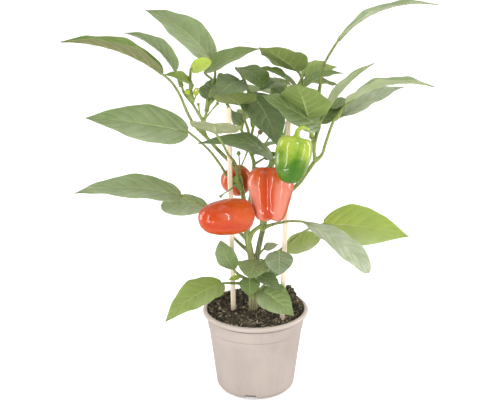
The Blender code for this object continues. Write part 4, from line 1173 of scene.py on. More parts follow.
def pot_outline(ring):
    """Outer side of the pot, from the middle of the underside up over the lip."""
    lip = LIP_HEIGHT / 2
    collar = POT_HEIGHT - LIP_HEIGHT
    outline = [(0, 0)]
    outline += arc((FOOT_RADIUS - FOOT_ROUND + 1, FOOT_ROUND), FOOT_ROUND, -90, -4, 10)
    for height in np.linspace(FOOT_ROUND + 3, STEP_HEIGHT - 1, BODY_ROWS):
        swell = ring * math.sin(height * BODY_FINE) * BODY_SHARE
        outline.append((wall_radius(height) + swell, height))
    outline += [
        (wall_radius(STEP_HEIGHT) - 0.5, STEP_HEIGHT - 0.3),
        (STEP_RADIUS - 0.5, STEP_HEIGHT + 0.2),
        (STEP_RADIUS, STEP_HEIGHT + 0.8),
        (STEP_RADIUS + 0.2, STEP_HEIGHT + 2.2),
        (COLLAR_RADIUS - 0.9, collar - 1.8),
        (COLLAR_RADIUS - 0.2, collar - 0.6),
        (COLLAR_RADIUS + 0.3, collar + 0.4),
    ]
    return outline + arc((RIM_RADIUS - lip, POT_HEIGHT - lip), lip, -80, 90, 14)


def cavity_outline(inset):
    """Inside of the pot, drawn in by a clearance for the soil."""
    floor = WALL + inset
    lip = LIP_HEIGHT / 2
    outline = [(0, floor)]
    outline += arc((FOOT_RADIUS - FOOT_ROUND + 1, FOOT_ROUND), FOOT_ROUND - floor, -90, -4, 6)
    return outline + [
        (wall_radius(STEP_HEIGHT) - floor, STEP_HEIGHT),
        (COLLAR_RADIUS - floor, POT_HEIGHT - LIP_HEIGHT),
        (RIM_RADIUS - lip - 2 - inset, POT_HEIGHT - lip),
        (RIM_RADIUS - lip - MOUTH_INSET - inset, POT_HEIGHT - 1),
    ]


def channel_angle(number):
    """Direction of one drainage channel, seen from above."""
    return math.tau * number / CHANNELS + math.radians(CHANNEL_TURN)


def channel_cutters(grow):
    """Radial drainage channels under the pot, as bars with sloping sides."""
    bars = []
    half = CHANNEL_WIDTH / 2 + grow
    roof = CHANNEL_HEIGHT + grow
    wide, narrow = half + CHANNEL_SLOPE, half - CHANNEL_SLOPE
    for number in range(CHANNELS):
        turn = Matrix.Rotation(channel_angle(number), 3, "Z")
        points = []
        for reach in (CHANNEL_START - grow, RIM_RADIUS):
            for across, height in ((-wide, -1), (wide, -1), (narrow, roof), (-narrow, roof)):
                points.append(turn @ Vector((reach, across, height)))
        faces = [(0, 3, 2, 1), (4, 5, 6, 7), (0, 1, 5, 4), (1, 2, 6, 5), (2, 3, 7, 6), (3, 0, 4, 7)]
        bars.append(mesh_object("channel", points, faces, smooth=False))
    return bars


def drain_cutters():
    """Round drainage holes through the channels' roofs."""
    holes = []
    low, high = CHANNEL_HEIGHT - WALL, CHANNEL_HEIGHT + 3 * WALL
    for number in range(CHANNELS):
        angle = channel_angle(number)
        hole = turned("drain", [(0, low), (DRAIN_RADIUS, low), (DRAIN_RADIUS, high), (0, high)], 32)
        hole.data.transform(Matrix.Translation((DRAIN_PLACE * MM * math.cos(angle),
                                                DRAIN_PLACE * MM * math.sin(angle), 0)))
        holes.append(hole)
    return holes


def cut_away(host, cutters):
    """Cut the cutters from the host and remove them."""
    group = bpy.data.collections.new("cutters")
    bpy.context.scene.collection.children.link(group)
    for obj in cutters:
        group.objects.link(obj)
    step = host.modifiers.new("cut", "BOOLEAN")
    step.operation = "DIFFERENCE"
    step.operand_type = "COLLECTION"
    step.collection = group
    step.solver = "EXACT"
    settle(host)
    for obj in cutters:
        bpy.data.objects.remove(obj)
    bpy.data.collections.remove(group)
    return host


class PEPPER_OT_pot(bpy.types.Operator):
    """Make the thin-walled nursery pot with its lip, step, channels and drainage holes"""
    bl_idname = "pepper.pot"
    bl_label = "Pot"

    def execute(self, context):
        settings = context.scene.pepper_pot
        above = POT_HEIGHT + WALL
        mouth = [(RIM_RADIUS - LIP_HEIGHT / 2 - MOUTH_INSET, above), (0, above)]
        cavity = turned("cavity", cavity_outline(0) + mouth, POT_SIDES)
        cut_away(cavity, channel_cutters(WALL))
        pot = turned("nursery_pot", pot_outline(settings.rib / MM) + [(0, POT_HEIGHT)], POT_SIDES,
                     [pot_plastic(settings)])
        cut_away(pot, [cavity] + channel_cutters(0) + drain_cutters())
        pot.data.set_sharp_from_angle(angle=math.radians(POT_EDGE))
        finish_piece(pot, "pot_plastic", "pot")
        return {"FINISHED"}


# Soil

def soil_height(x, y):
    """Height of the soil: level with a rise and a heap at the back on the right, and crumbs."""
    away = math.hypot(x - HEAP_PLACE[0], y - HEAP_PLACE[1])
    inward = (COLLAR_RADIUS + WALL - math.hypot(x, y)) / HEAP_FOOT
    heap = HEAP_HEIGHT * math.exp(-(away / HEAP_SPREAD) ** 2) * max(0.0, min(1.0, inward))
    uneven = sum(size * noise.noise(Vector((x, y, start)) * fineness)
                 for size, fineness, start in SOIL_LUMPS)
    return SOIL_LEVEL + heap + uneven + SOIL_RISE * y / RIM_RADIUS


def soil_wall(height):
    """Radius of the soil against the pot's inner wall at a height."""
    outline = [point for point in cavity_outline(GAP) if point[0]]
    return float(np.interp(height, [z for _, z in outline], [r for r, _ in outline]))


def soil_body(material):
    """Soil from the pot's floor to its crumbly top."""
    turns = circle(SOIL_SIDES)
    outline = [point for point in cavity_outline(GAP) if point[0]]
    rings = [[(x * r, y * r, z) for x, y in turns] for r, z in outline if z <= STEP_HEIGHT]
    reach = COLLAR_RADIUS - 4 * GAP
    for ring in range(SOIL_RINGS, 0, -1):
        share = ring / SOIL_RINGS
        line = []
        for x, y in turns:
            height = soil_height(x * reach * share, y * reach * share)
            wide = min(reach, soil_wall(height))
            line.append((x * wide * share, y * wide * share, height - share ** 24))
        rings.append(line)
    points = [(0, 0, outline[0][1])] + [point for line in rings for point in line]
    points.append((0, 0, soil_height(0, 0)))
    return mesh_object("potting_soil", points, ball_faces(len(rings), SOIL_SIDES), [material])


def copy_of(obj):
    """Copy of an object with a mesh of its own, not yet in the scene."""
    made = obj.copy()
    made.data = obj.data.copy()
    return made


def bare_ground(soil):
    """Top of the soil alone, for what is strewn on it."""
    ground = copy_of(soil)
    top = bmesh.new()
    top.from_mesh(ground.data)
    low = [face for face in top.faces
           if face.calc_center_median().z < (SOIL_LEVEL - SOIL_SKIN) * MM
           or face.normal.z < SOIL_FLATTEST]
    bmesh.ops.delete(top, geom=low, context="FACES")
    top.to_mesh(ground.data)
    top.free()
    return ground


def crumb_kinds(name, stretch, count):
    """Collection of small lumps to strew: balls made uneven, drawn out by stretch."""
    kinds = bpy.data.collections.new(name)
    for number in range(count):
        mesh = bpy.data.meshes.new(f"{name}_{number}")
        lump = bmesh.new()
        bmesh.ops.create_uvsphere(lump, u_segments=6, v_segments=4, radius=0.5)
        for vert in lump.verts:
            own = Vector((number * 9.1, 0, 0))
            uneven = 1 + CRUMB_UNEVEN * noise.noise(vert.co * CRUMB_LUMPS + own)
            vert.co = vert.co * Vector(stretch) * uneven
            vert.co.y += CRUMB_BEND * stretch[0] * vert.co.x * vert.co.x * (number % 3 - 1)
        lump.to_mesh(mesh)
        lump.free()
        kinds.objects.link(bpy.data.objects.new(f"{name}_{number}", mesh))
    return kinds


def strew(name, ground, kinds, **inputs):
    """Strew one kind of crumb over a copy of the ground, as the inputs say."""
    piece = copy_of(ground)
    piece.name = name
    bpy.context.scene.collection.objects.link(piece)
    run_tree(piece, "Strewn crumbs", crumbs=kinds, **inputs)
    for obj in list(kinds.objects):
        bpy.data.objects.remove(obj)
    bpy.data.collections.remove(kinds)
    return piece


class PEPPER_OT_soil(bpy.types.Operator):
    """Make the potting soil with its crumbs, bark fibres and pale grit"""
    bl_idname = "pepper.soil"
    bl_label = "Soil"

    def execute(self, context):
        settings = context.scene.pepper_soil
        soil = soil_body(soil_earth(settings))
        ground = bare_ground(soil)
        crumb, fibre = settings.crumb, settings.fibre
        dark, light = tuple(settings.dark), tuple(settings.light)
        brown = mixed(dark, light, 0.20)
        crumbs = strew(
            "soil_crumbs", ground, crumb_kinds("crumb", (1.0, 0.8, 0.7), 5), seed=4,
            material=soil_crumbs("peat_crumbs", dark, brown), tilt=math.pi, sink=0.0,
            density=settings.crumbs * THOUSAND, smallest=0.3 * crumb, largest=crumb)
        fibres = strew(
            "soil_fibres", ground, crumb_kinds("fibre", (1.0, 0.16, 0.10), 5), seed=9,
            material=soil_crumbs("bark_fibres", brown, light), tilt=0.45, sink=0.3 * MM,
            density=settings.fibres * THOUSAND, smallest=0.25 * fibre, largest=fibre)
        grit = strew(
            "soil_grit", ground, crumb_kinds("grit", (1.0, 0.9, 0.85), 4), seed=2,
            material=soil_crumbs("pale_grit", *GRIT_COLOURS),
            tilt=math.pi, sink=0.4 * MM, density=settings.grit * THOUSAND,
            smallest=0.8 * MM, largest=2.4 * MM)
        chips = strew(
            "soil_chips", ground, crumb_kinds("chip", (1.0, 0.6, 0.28), 5), seed=7,
            material=soil_crumbs("bark_chips", *CHIP_COLOURS),
            tilt=0.6, sink=0.5 * MM, density=settings.chips * THOUSAND,
            smallest=1.8 * MM, largest=6.2 * MM)
        bpy.data.objects.remove(ground)
        for piece in (soil, crumbs, fibres, grit, chips):
            finish_piece(piece, "soil", "soil")
        return {"FINISHED"}


# Canes

def cane(name, foot, top, split, seed, material):
    """Split-wood cane: a slat with broken corners, torn edges, splits and a pointed foot."""
    foot, top = Vector(foot), Vector(top)
    length = (top - foot).length
    along = (top - foot).normalized()
    across = (Vector((1, 0, 0)) - along * along.x).normalized()
    other = along.cross(across)
    c = CANE_CORNER
    wide, deep = CANE_WIDTH / 2, CANE_DEPTH / 2
    corners = [(wide, -deep + c), (wide, deep - c), (wide - c, deep), (c - wide, deep),
               (-wide, deep - c), (-wide, c - deep), (c - wide, -deep), (wide - c, -deep)]
    section = []
    for a, b in zip(corners, corners[1:] + corners[:1]):
        steps = 6 if math.dist(a, b) > 2 * c else 3
        section += [Vector(a).lerp(Vector(b), step / steps) for step in range(steps)]
    points = []
    places = [0.0, 4.0, 10.0, CANE_POINT]
    places += list(np.arange(CANE_POINT + CANE_STEP, length - 1, CANE_STEP))
    places += [length - 0.8, length]
    for place in places:
        share = min(1.0, CANE_POINT_SHARE + (1 - CANE_POINT_SHARE) * place / CANE_POINT)
        if place == length:
            share = CANE_TOP_SHARE
        for number, (u, v) in enumerate(section):
            ripple = noise.noise(Vector((number * 0.9, place * 0.035, seed)))
            gouge = noise.noise(Vector((number * 0.5, place * 0.09, seed + 5)))
            chip = max(0.0, gouge - CANE_CHIP_START)
            shrink = share * (1 - split * (CANE_RIPPLE * abs(ripple) + CANE_CHIP * chip))
            torn = CANE_TORN * ripple if place > length - 1 else 0.0
            points.append(foot + along * (place + torn) + across * u * shrink + other * v * shrink)
    obj = mesh_object(name, points, tube_faces(len(places), len(section)), [material])
    obj.data.set_sharp_from_angle(angle=math.radians(CANE_EDGE))
    return obj


class PEPPER_OT_canes(bpy.types.Operator):
    """Make the two split-wood canes"""
    bl_idname = "pepper.canes"
    bl_label = "Canes"

    def execute(self, context):
        settings = context.scene.pepper_canes
        wood = cane_wood(settings)
        for side, ends, seed in (("left", CANE_LEFT, 1.0), ("right", CANE_RIGHT, 2.0)):
            piece = cane(f"split_cane_{side}", *ends, settings.split / MM, seed, wood)
            finish_piece(piece, "cane_wood", f"cane_{side}")
        return {"FINISHED"}


# Stems

# One stem: the points it passes, its radii, how woody it is and how dark its streaks are
Stem = namedtuple("Stem", "points radii woody dark")


def stem(points, radii, woody=(0.0, 0.0), dark=(0.0, 0.0)):
    """A green stem without dark streaks unless it says otherwise."""
    return Stem(points, radii, woody, dark)


def grown_on(stub, route, lead=3.0):
    """Route of a stem that starts on the end of another node's stub."""
    end = Vector(stub[-1])
    along = (end - Vector(stub[-2])).normalized()
    return [end + along * GAP, end + along * (GAP + lead)] + list(route)


STEMS = {
    "main_stem": [
        stem(TRUNK, TRUNK_RADII, (1.0, 1.0, 0.7, 0.25, 0.1, 0.0), (0.5, 0.7, 0.5, 0.6, 0.6, 0.6)),
        stem(RIGHT_LEADER, [3.8, 3.4, 3.0], (0.3, 0.2, 0.0), (1.0, 1.0, 0.7)),
        stem(LEADER_LINK, [2.8, 2.4]),
        stem(MIDDLE_STUB, [2.8, 2.5]),
        stem(BACK_STUB, [2.8, 2.6]),
    ],
    "left_stem": [
        stem(grown_on(TRUNK, LEFT_STEM), [2.6, 2.4, 2.2, 2.0], dark=(0.6, 0.6, 0.4)),
        stem(LEFT_FORK, [1.7, 1.4], dark=(0.4, 0.2)),
        stem(LEFT_SPUR, [1.7, 1.4]),
    ],
    "middle_stem": [
        stem(grown_on(MIDDLE_STUB, MIDDLE_STEM), [2.5, 2.2, 1.8]),
        stem(MIDDLE_SPUR, [1.8, 1.6]),
    ],
    "right_stem": [
        stem(grown_on(RIGHT_LEADER, RIGHT_STEM), [3.0, 2.6, 2.3], dark=(0.4, 0.2, 0.2)),
        stem(RIGHT_FORK_A, [1.9, 1.7]),
        stem(RIGHT_FORK_B, [1.9, 1.6]),
        stem(RIGHT_SPUR, [1.7, 1.5]),
    ],
    "back_stem": [
        stem(grown_on(BACK_STUB, BACK_STEM), [2.6, 2.2, 1.8]),
    ],
}

LEAVES = {
    "main_stem": MAIN_LEAVES,
    "left_stem": LEFT_LEAVES,
    "middle_stem": MIDDLE_LEAVES,
    "right_stem": RIGHT_LEAVES,
    "back_stem": BACK_LEAVES,
}

# Buds and dry stalks: stem node, route, what sits on its end, size
Tip = namedtuple("Tip", "node route kind size")
TIPS = [
    Tip("main_stem", [(-19, 8, 270), (-19, 6, 288), (-20, 6, 300)], "bead", 2.8),
    Tip("main_stem", [(-21, 9, 275), (-14, 13, 289), (-9, 15, 302)], "cup", 1.2),
    Tip("main_stem", [(-18, 7, 266), (-28, -8, 261), (-37, -9, 255), (-42, -10, 251)], "cup", 2.4),
    Tip("left_stem", [(-74, 12, 359), (-78, 9, 368), (-79, 8, 374)], "bud", 3.6),
    Tip("left_stem", [(-74, 12, 359), (-70, 8, 368), (-69, 7, 374)], "flower", 3.6),
    Tip("left_stem", [(-65, 13, 342), (-66, 11, 352), (-67, 10, 359)], "cup", 2.0),
    Tip("left_stem", [(-60, 15, 339), (-52, 12, 350), (-44, 10, 360)], "cup", 2.2),
    Tip("middle_stem", [(-7, 25, 298), (0, 30, 310), (6, 29, 320)], "withered", 4.5),
    Tip("middle_stem", [(-5, 22, 292), (8, 24, 302), (17, 22, 316)], "cup", 1.2),
]

FRUIT_STALKS = [
    (RED_FRONT, FRONT_ROUTE, "main_stem"),
    (RED_BACK, BACK_ROUTE, "main_stem"),
    (RED_CENTRE, CENTRE_ROUTE, "right_stem"),
    (GREEN, GREEN_ROUTE, "right_stem"),
]


def leaf_stalk(one):
    """A leaf's stalk as a stem: swollen at its foot and drawn out under the blade."""
    points, _, upward, _ = midrib(one, np.array(STALK_SHARES))
    under = [Vector(point - up * STALK_DROP) for point, up in zip(points, upward)]
    small = SMALL_STALK if one.width < SMALL_LEAF else 1.0
    return stem(one.stalk + [one.base] + under, [radius * small for radius in STALK_RADII],
                dark=(0.5, 0.3))


def line_object(name, stems):
    """Lines through the stems, with their thickness, knots at forks and knobs as an attribute."""
    points, edges, thick = [], [], []
    for number, one in enumerate(stems):
        path = smooth_path(one.points, PATH_STEPS)
        radii = spread(one.radii, len(path))
        start = len(points)
        for place, (point, radius) in enumerate(zip(path, radii)):
            uneven = KNOB_LOW if number == 0 and point.z < KNOB_TOP else KNOB_HIGH
            knob = 1 + uneven * noise.noise(point * KNOB_FINE + Vector((number, 0, 0)))
            near = math.exp(-(place / PATH_STEPS) ** 2 * FORK_FADE)
            foot = 1 + FORK_SWELL * near * (number > 0)
            points.append(point)
            thick.append(radius * knob * foot * MM)
        edges += [(start + k, start + k + 1) for k in range(len(path) - 1)]
    mesh = bpy.data.meshes.new(name)
    mesh.from_pydata([point * MM for point in points], edges, [])
    mark(mesh, "thick", thick)
    return new_object(name, mesh)


def mark_bark(obj, stems):
    """Store on a stem mesh how woody and how dark the nearest stem is there."""
    spots = []
    for one in stems:
        path = smooth_path(one.points, PATH_STEPS)
        spots += zip(path, spread(one.woody, len(path)), spread(one.dark, len(path)))
    tree = KDTree(len(spots))
    for number, (point, _, _) in enumerate(spots):
        tree.insert(point * MM, number)
    tree.balance()
    nearest = [tree.find(vert.co)[1] for vert in obj.data.vertices]
    for name, place in (("woody", 1), ("dark", 2)):
        mark(obj.data, name, [spots[number][place] for number in nearest])


class PEPPER_OT_stems(bpy.types.Operator):
    """Make the trunk, stems, leaf stalks and thin stalks, each stem fused into one skin"""
    bl_idname = "pepper.stems"
    bl_label = "Stems"

    def execute(self, context):
        settings = context.scene.pepper_stems
        skin = stem_skin(settings)
        for node, stems in STEMS.items():
            parts = stems + [leaf_stalk(one) for one in LEAVES[node]]
            parts += [stem(tip.route, THIN_STALK) for tip in TIPS if tip.node == node]
            piece = line_object(node.replace("_stem", "_stalks"), parts)
            run_tree(piece, "Round stems", sides=STEM_SIDES, material=skin)
            fuse = piece.modifiers.new("fuse", "REMESH")
            fuse.mode = "VOXEL"
            fuse.voxel_size = settings.skin
            fuse.use_smooth_shade = True
            soften = piece.modifiers.new("soften", "SMOOTH")
            soften.factor = 0.5
            soften.iterations = 2
            settle(piece)
            piece.data.materials.clear()
            piece.data.materials.append(skin)
            mark_bark(piece, parts)
            finish_piece(piece, "foliage", node)
        return {"FINISHED"}


# Leaves

def half_width(share, shape):
    """Half width of a pepper leaf along its length, 1 at its widest."""
    rise, fall = shape
    peak = rise / (rise + fall)
    width = share ** rise * np.maximum(1 - share, 0) ** fall
    return width / (peak ** rise * (1 - peak) ** fall)


def midrib(one, shares):
    """Points on a leaf's midrib, with their tangents, upward and sideways directions."""
    base, tip = np.array(one.base, float), np.array(one.tip, float)
    chord = tip - base
    length = np.linalg.norm(chord)
    ahead = chord / length
    up = np.array(one.face, float)
    up -= ahead * (up @ ahead)
    up /= np.linalg.norm(up)
    side = np.cross(ahead, up)
    lean = up * one.arch * length
    points = base + np.outer(shares, chord) + np.outer(4 * shares * (1 - shares), lean)
    tangents = unit_rows(chord + np.outer(4 - 8 * shares, lean))
    turn = np.radians(one.twist) * shares
    upward = np.outer(np.cos(turn), up) + np.outer(np.sin(turn), side)
    upward = unit_rows(upward - tangents * np.sum(upward * tangents, axis=1, keepdims=True))
    return points, tangents, upward, np.cross(tangents, upward)


def vein_relief(across, along, pairs):
    """How near each place is to a side vein, and how high the blade quilts there, 0 to 1."""
    swept = along - VEIN_SWEEP * np.abs(across) ** VEIN_CURVE
    phase = swept * pairs + VEIN_SHIFT * (across > 0)
    away = np.abs(phase - np.round(phase))
    fade = np.clip((1 - np.abs(across)) / 0.2, 0, 1)
    return np.exp(-(away / VEIN_HALF) ** 2) * fade, np.sin(math.pi * away) * fade


def blade_grid(one, settings, dice):
    """Upper and under face of a blade as two grids of points, with their place on the leaf."""
    length = math.dist(one.base, one.tip)
    rows = int(np.clip(length / ROW_LENGTH, FEWEST_ROWS, MOST_ROWS))
    columns = BROAD_COLUMNS if one.width > BROAD_LEAF else SLIM_COLUMNS
    along = BLADE_START + (1 - BLADE_START) * np.linspace(0, 1, rows + 1) ** ROW_SPREAD
    steps = np.linspace(-1, 1, 2 * columns + 1)
    across = np.sign(steps) * np.abs(steps) ** COLUMN_SPREAD
    points, _, upward, side = midrib(one, along)
    reach = np.maximum(one.width / 2 * half_width(along, one.shape), 0.25)
    v, u = np.meshgrid(along, across, indexing="ij")
    near = np.abs(u)
    edge = 1 + EDGE_ROUGH * np.sin(v * EDGE_TURNS + dice.random() * 6) * near ** 3
    small = min(1.0, one.width / FULL_WAVES)
    fold = math.radians(one.fold)
    phase = np.where(u < 0, LEFT_WAVE, RIGHT_WAVE)
    fade = np.minimum(1, 4 - 4 * v)
    high = small * one.wave * fade
    wave = high * np.sin(math.tau * WAVE_TURNS * v + phase)
    start = 2.1 * phase + dice.random() * 6
    ripple = RIPPLE_SHARE * high * np.sin(math.tau * RIPPLE_TURNS * v + start)
    wide = reach[:, None]
    lift = near * wide * math.sin(fold) + near ** 1.8 * (wave + ripple)
    lift -= EDGE_DROOP * wide * (near ** 3)
    veins, quilt = vein_relief(u, v, settings.pairs)
    scale = min(1.0, one.width / FULL_RELIEF)
    relief = quilt * np.minimum(1, wide / FULL_QUILT) - VEIN_RELIEF * veins
    relief = settings.quilt / MM * scale * relief
    groove = GROOVE_DEPTH * scale * np.exp(-(near * wide / 1.1) ** 2) * (1 - v)
    out = u * wide * math.cos(fold) * edge
    top = points[:, None, :] + side[:, None, :] * out[..., None]
    top = top + upward[:, None, :] * (lift + relief * 0.6 - groove)[..., None]
    rib = (0.35 + RIB_RADIUS * (1 - v)) * np.exp(-(near * wide / 1.3) ** 2) * (0.4 + 0.6 * scale)
    thick = settings.thickness / MM * (1 - 0.5 * near ** 4)
    low = top - upward[:, None, :] * (thick + rib + VEIN_UNDER * veins * scale - groove)[..., None]
    return top, low, u, v


def blade_mesh(one, settings, dice, points, faces, sides, places, tones):
    """Add one closed blade to the running lists of a leaf piece."""
    top, low, u, v = blade_grid(one, settings, dice)
    start = len(points)
    points.extend(np.concatenate([top, low]).reshape(-1, 3).tolist())
    flat = np.stack([u * 0.5 + 0.5, v], axis=-1).reshape(-1, 2).tolist()
    places.extend(flat + flat)
    # The pale tone is a painted sheen: each leaf's own share, a little more at random, and more on
    # the lower half of a leaf on its side
    own = 0.16 * dice.random()
    slope = (top[:, :1, 2] - top[:, -1:, 2]) / one.width
    lower = np.clip(u * slope, 0, 1)
    pale = np.minimum(1.0, one.pale + own + LOWER_SHEEN * lower).ravel().tolist()
    tones.extend([(one.young, one.deep, share, 1.0) for share in pale + pale])
    made, under = sheet_faces(*u.shape, start)
    faces.extend(made)
    sides.extend(under)


def leaf_piece(name, leaves, settings, materials, seed):
    """All blades of one stem as one mesh, with their map and their tones."""
    dice = random.Random(seed)
    points, faces, sides, places, tones, flushes = [], [], [], [], [], []
    for number, one in enumerate(leaves):
        before = len(points)
        blade_mesh(one, settings, dice, points, faces, sides, places, tones)
        flushes += [FLUSHED.get((name, number), 0.0)] * (len(points) - before)
    obj = mesh_object(name, points, faces, materials)
    mesh = obj.data
    mesh.polygons.foreach_set("material_index", sides)
    lay_map(mesh, "blade", places)
    mark(mesh, "tone", np.array(tones).ravel(), "FLOAT_COLOR", "color")
    mark(mesh, "flush", flushes)
    mesh.set_sharp_from_angle(angle=math.radians(LEAF_EDGE))
    return obj


class PEPPER_OT_leaves(bpy.types.Operator):
    """Make every leaf blade, waved, folded, veined and quilted"""
    bl_idname = "pepper.leaves"
    bl_label = "Leaves"

    def execute(self, context):
        settings = context.scene.pepper_leaves
        faces = [leaf_face("leaf_upper", settings, True), leaf_face("leaf_under", settings, False)]
        for seed, (node, leaves) in enumerate(LEAVES.items()):
            piece = leaf_piece(node.replace("_stem", "_leaves"), leaves, settings, faces, seed)
            finish_piece(piece, "foliage", node)
        return {"FINISHED"}


# Fruits

def fruit_frame(one):
    """Turn that takes a fruit's upright frame to its place, its foot and its length."""
    low, high = Vector(one.blossom_end), Vector(one.stem_end)
    axis = high - low
    turn = axis.to_track_quat("Z", "Y").to_matrix()
    return low, turn @ Matrix.Rotation(math.radians(one.turn), 3, "Z"), axis.length


def fruit_mesh(one, material):
    """Blocky lobed bell fruit with furrows, a sunk stem end and gently uneven cheeks."""
    low, turn, length = fruit_frame(one)
    outline = [(point.x, point.y) for point in smooth_path([(r, a, 0) for r, a in one.outline],
                                                    OUTLINE_STEPS)]
    outline = outline[1:-1]
    points = [low + turn @ Vector((0, 0, one.outline[0][1] * length))]
    places = [(0.5, 0.0)]
    dents = [0.0]
    for reach, along in outline:
        reach = max(reach, 0.01)
        deeper = 1 + END_FURROW * abs(along - WAIST)
        for k, (x, y) in enumerate(circle(FRUIT_SIDES)):
            angle = math.tau * k / FRUIT_SIDES
            lobe = math.cos(one.lobes * angle / 2)
            furrow = max(0.0, 1 - math.sqrt(lobe ** 2 + FURROW_SOFT))
            radius = one.radius * reach * (1 - one.furrow * deeper * furrow ** 1.5)
            radius *= 1 - one.taper * (1 - along)
            spot = Vector((x * 1.1, y * 1.1, along * 2.1 + one.turn))
            uneven = sum(size * noise.noise(spot * fineness) for size, fineness in CHEEK_LUMPS)
            radius *= 1 + uneven * min(1.0, reach * 1.5)
            drop = one.taper * FOOT_NOTCH * length * furrow * max(0.0, FOOT_SHARE - along)
            points.append(low + turn @ Vector((radius * x, radius * y, along * length + drop)))
            places.append((k / FRUIT_SIDES, along))
            dents.append(furrow)
    points.append(low + turn @ Vector((0, 0, one.outline[-1][1] * length)))
    places.append((0.5, 1.0))
    dents.append(0.0)
    obj = mesh_object(one.name.replace("fruit_", "pepper_"), points,
                      ball_faces(len(outline), FRUIT_SIDES), [material])
    lay_map(obj.data, "skin", places)
    mark(obj.data, "furrow", dents)
    return obj


class PEPPER_OT_fruits(bpy.types.Operator):
    """Make the three red fruits and the green one"""
    bl_idname = "pepper.fruits"
    bl_label = "Fruits"

    def execute(self, context):
        settings = context.scene.pepper_fruits
        red, orange, gloss = settings.red, settings.orange, settings.gloss
        ripe = fruit_skin("skin_ripe", red, orange, gloss, 0.5)
        # The largest red fruit's skin carries a painted pink reflection on its cheeks
        reflecting_skin = fruit_skin("skin_bloomed", red, orange, gloss, 0.5, settings.cheek_reflection)
        # On the green fruit the lime towards the stalk is partly a painted highlight on its top
        unripe = fruit_skin("skin_unripe", settings.grass, settings.lime_and_highlight, gloss, 0.6,
                            crease_shade=UNRIPE_CREASE_SHADE)
        for one, skin, slot in ((RED_FRONT, ripe, "fruit_red"), (RED_CENTRE, reflecting_skin, "fruit_red"),
                                (RED_BACK, ripe, "fruit_red"), (GREEN, unripe, "fruit_green")):
            finish_piece(fruit_mesh(one, skin), slot, one.name)
        return {"FINISHED"}


# Calyxes, buds and flower

def ribbed_tube(name, path, radii, depth, material, sides=48):
    """Closed fleshy stalk along a path; towards its end its rings take the shape of lobes."""
    path = [Vector(point) for point in path]
    across = (path[1] - path[0]).normalized().orthogonal().normalized()
    points = []
    for place, (centre, radius) in enumerate(zip(path, radii)):
        ahead = (path[min(place + 1, len(path) - 1)] - path[max(place - 1, 0)]).normalized()
        across = (across - ahead * across.dot(ahead)).normalized()
        other = ahead.cross(across)
        share = place / (len(path) - 1)
        for k, (x, y) in enumerate(circle(sides)):
            angle = math.tau * k / sides * CALYX_LOBES
            lobe = 1 + depth * share ** 6 * math.cos(angle)
            rib = 1 + RIB_HEIGHT * math.cos(2 * angle) * (1 - share ** 4)
            points.append(centre + (across * x + other * y) * radius * lobe * rib)
    return mesh_object(name, points, tube_faces(len(path), sides), [material])


def fruit_stalk(one, route, material):
    """Fruit stalk along its route, flared to the calyx that sits in the fruit's stem end."""
    low, turn, length = fruit_frame(one)
    seat = low + turn @ Vector((0, 0, SEAT_SHARE * length))
    out = (turn @ Vector((0, 0, 1))).normalized()
    path = smooth_path(list(route) + [seat + out * (CALYX_HEIGHT + 2 * PEDUNCLE)], 6)
    radii = spread([PEDUNCLE * 0.8, PEDUNCLE * 0.85, PEDUNCLE], len(path))
    for height, radius in CALYX_FLARE:
        path.append(seat + out * height)
        radii.append(radius * CALYX_SHARE)
    return ribbed_tube("stalk", path, radii, 0.10, material)


def round_tip(name, centre, along, radius, length, material, pinch=0.0, sides=20):
    """Bud or bead: a ball drawn out along its stalk and, if asked, pinched to a point."""
    centre, along = Vector(centre), Vector(along).normalized()
    across = along.orthogonal().normalized()
    other = along.cross(across)
    points = []
    for ring in range(BUD_RINGS + 1):
        angle = math.pi * ring / BUD_RINGS
        wide = max(0.05, radius * math.sin(angle) * (1 - pinch * ring / BUD_RINGS))
        point = centre - along * length * math.cos(angle)
        for k, (x, y) in enumerate(circle(sides)):
            ridge = 1 + BUD_RIDGE * math.cos(math.tau * k / sides * CALYX_LOBES)
            points.append(point + (across * x + other * y) * wide * ridge)
    return mesh_object(name, points, tube_faces(BUD_RINGS + 1, sides), [material])


def open_cup(route, size, material):
    """Dried calyx left on its stalk: a small cup with five points."""
    path = smooth_path(route, 6)[-5:]
    along = (path[-1] - path[-2]).normalized()
    path += [path[-1] + along * 0.4]
    radii = [1.0, 1.0, 1.1, (1 + size) / 2, size, size * 0.8]
    return ribbed_tube("cup", path, radii, 0.22, material, 30)


def petals(centre, along, radius, material):
    """Five small petals half open round a bud's end."""
    centre, along = Vector(centre), Vector(along).normalized()
    across = along.orthogonal().normalized()
    made = []
    for number in range(CALYX_LOBES):
        turn = Matrix.Rotation(math.tau * number / CALYX_LOBES, 3, along)
        out = turn @ across
        side = along.cross(out)
        base = centre + along * radius * 0.3 + out * radius * 0.55
        points = []
        for thick in (0.0, PETAL_THICK):
            for reach, wide in PETAL_ROWS:
                for step in (-1, 0, 1):
                    points.append(base + along * (reach * 0.8) + out * (reach * 0.28 + thick)
                                  + side * step * wide - out * 0.3 * abs(step))
        faces, _ = sheet_faces(len(PETAL_ROWS), 3)
        petal = mesh_object("petal", points, faces, [material])
        rounding = petal.modifiers.new("round", "SUBSURF")
        rounding.levels = rounding.render_levels = 2
        made.append(settle(petal))
    return made


def join(name, parts):
    """One mesh object from several, with their materials and attributes."""
    with bpy.context.temp_override(active_object=parts[0], object=parts[0],
                                   selected_objects=parts, selected_editable_objects=parts):
        bpy.ops.object.join()
    parts[0].name = name
    parts[0].data.name = name
    return parts[0]


def mark_young(obj, value):
    """Store how yellow a green part is."""
    mark(obj.data, "young", [value] * len(obj.data.vertices))
    return obj


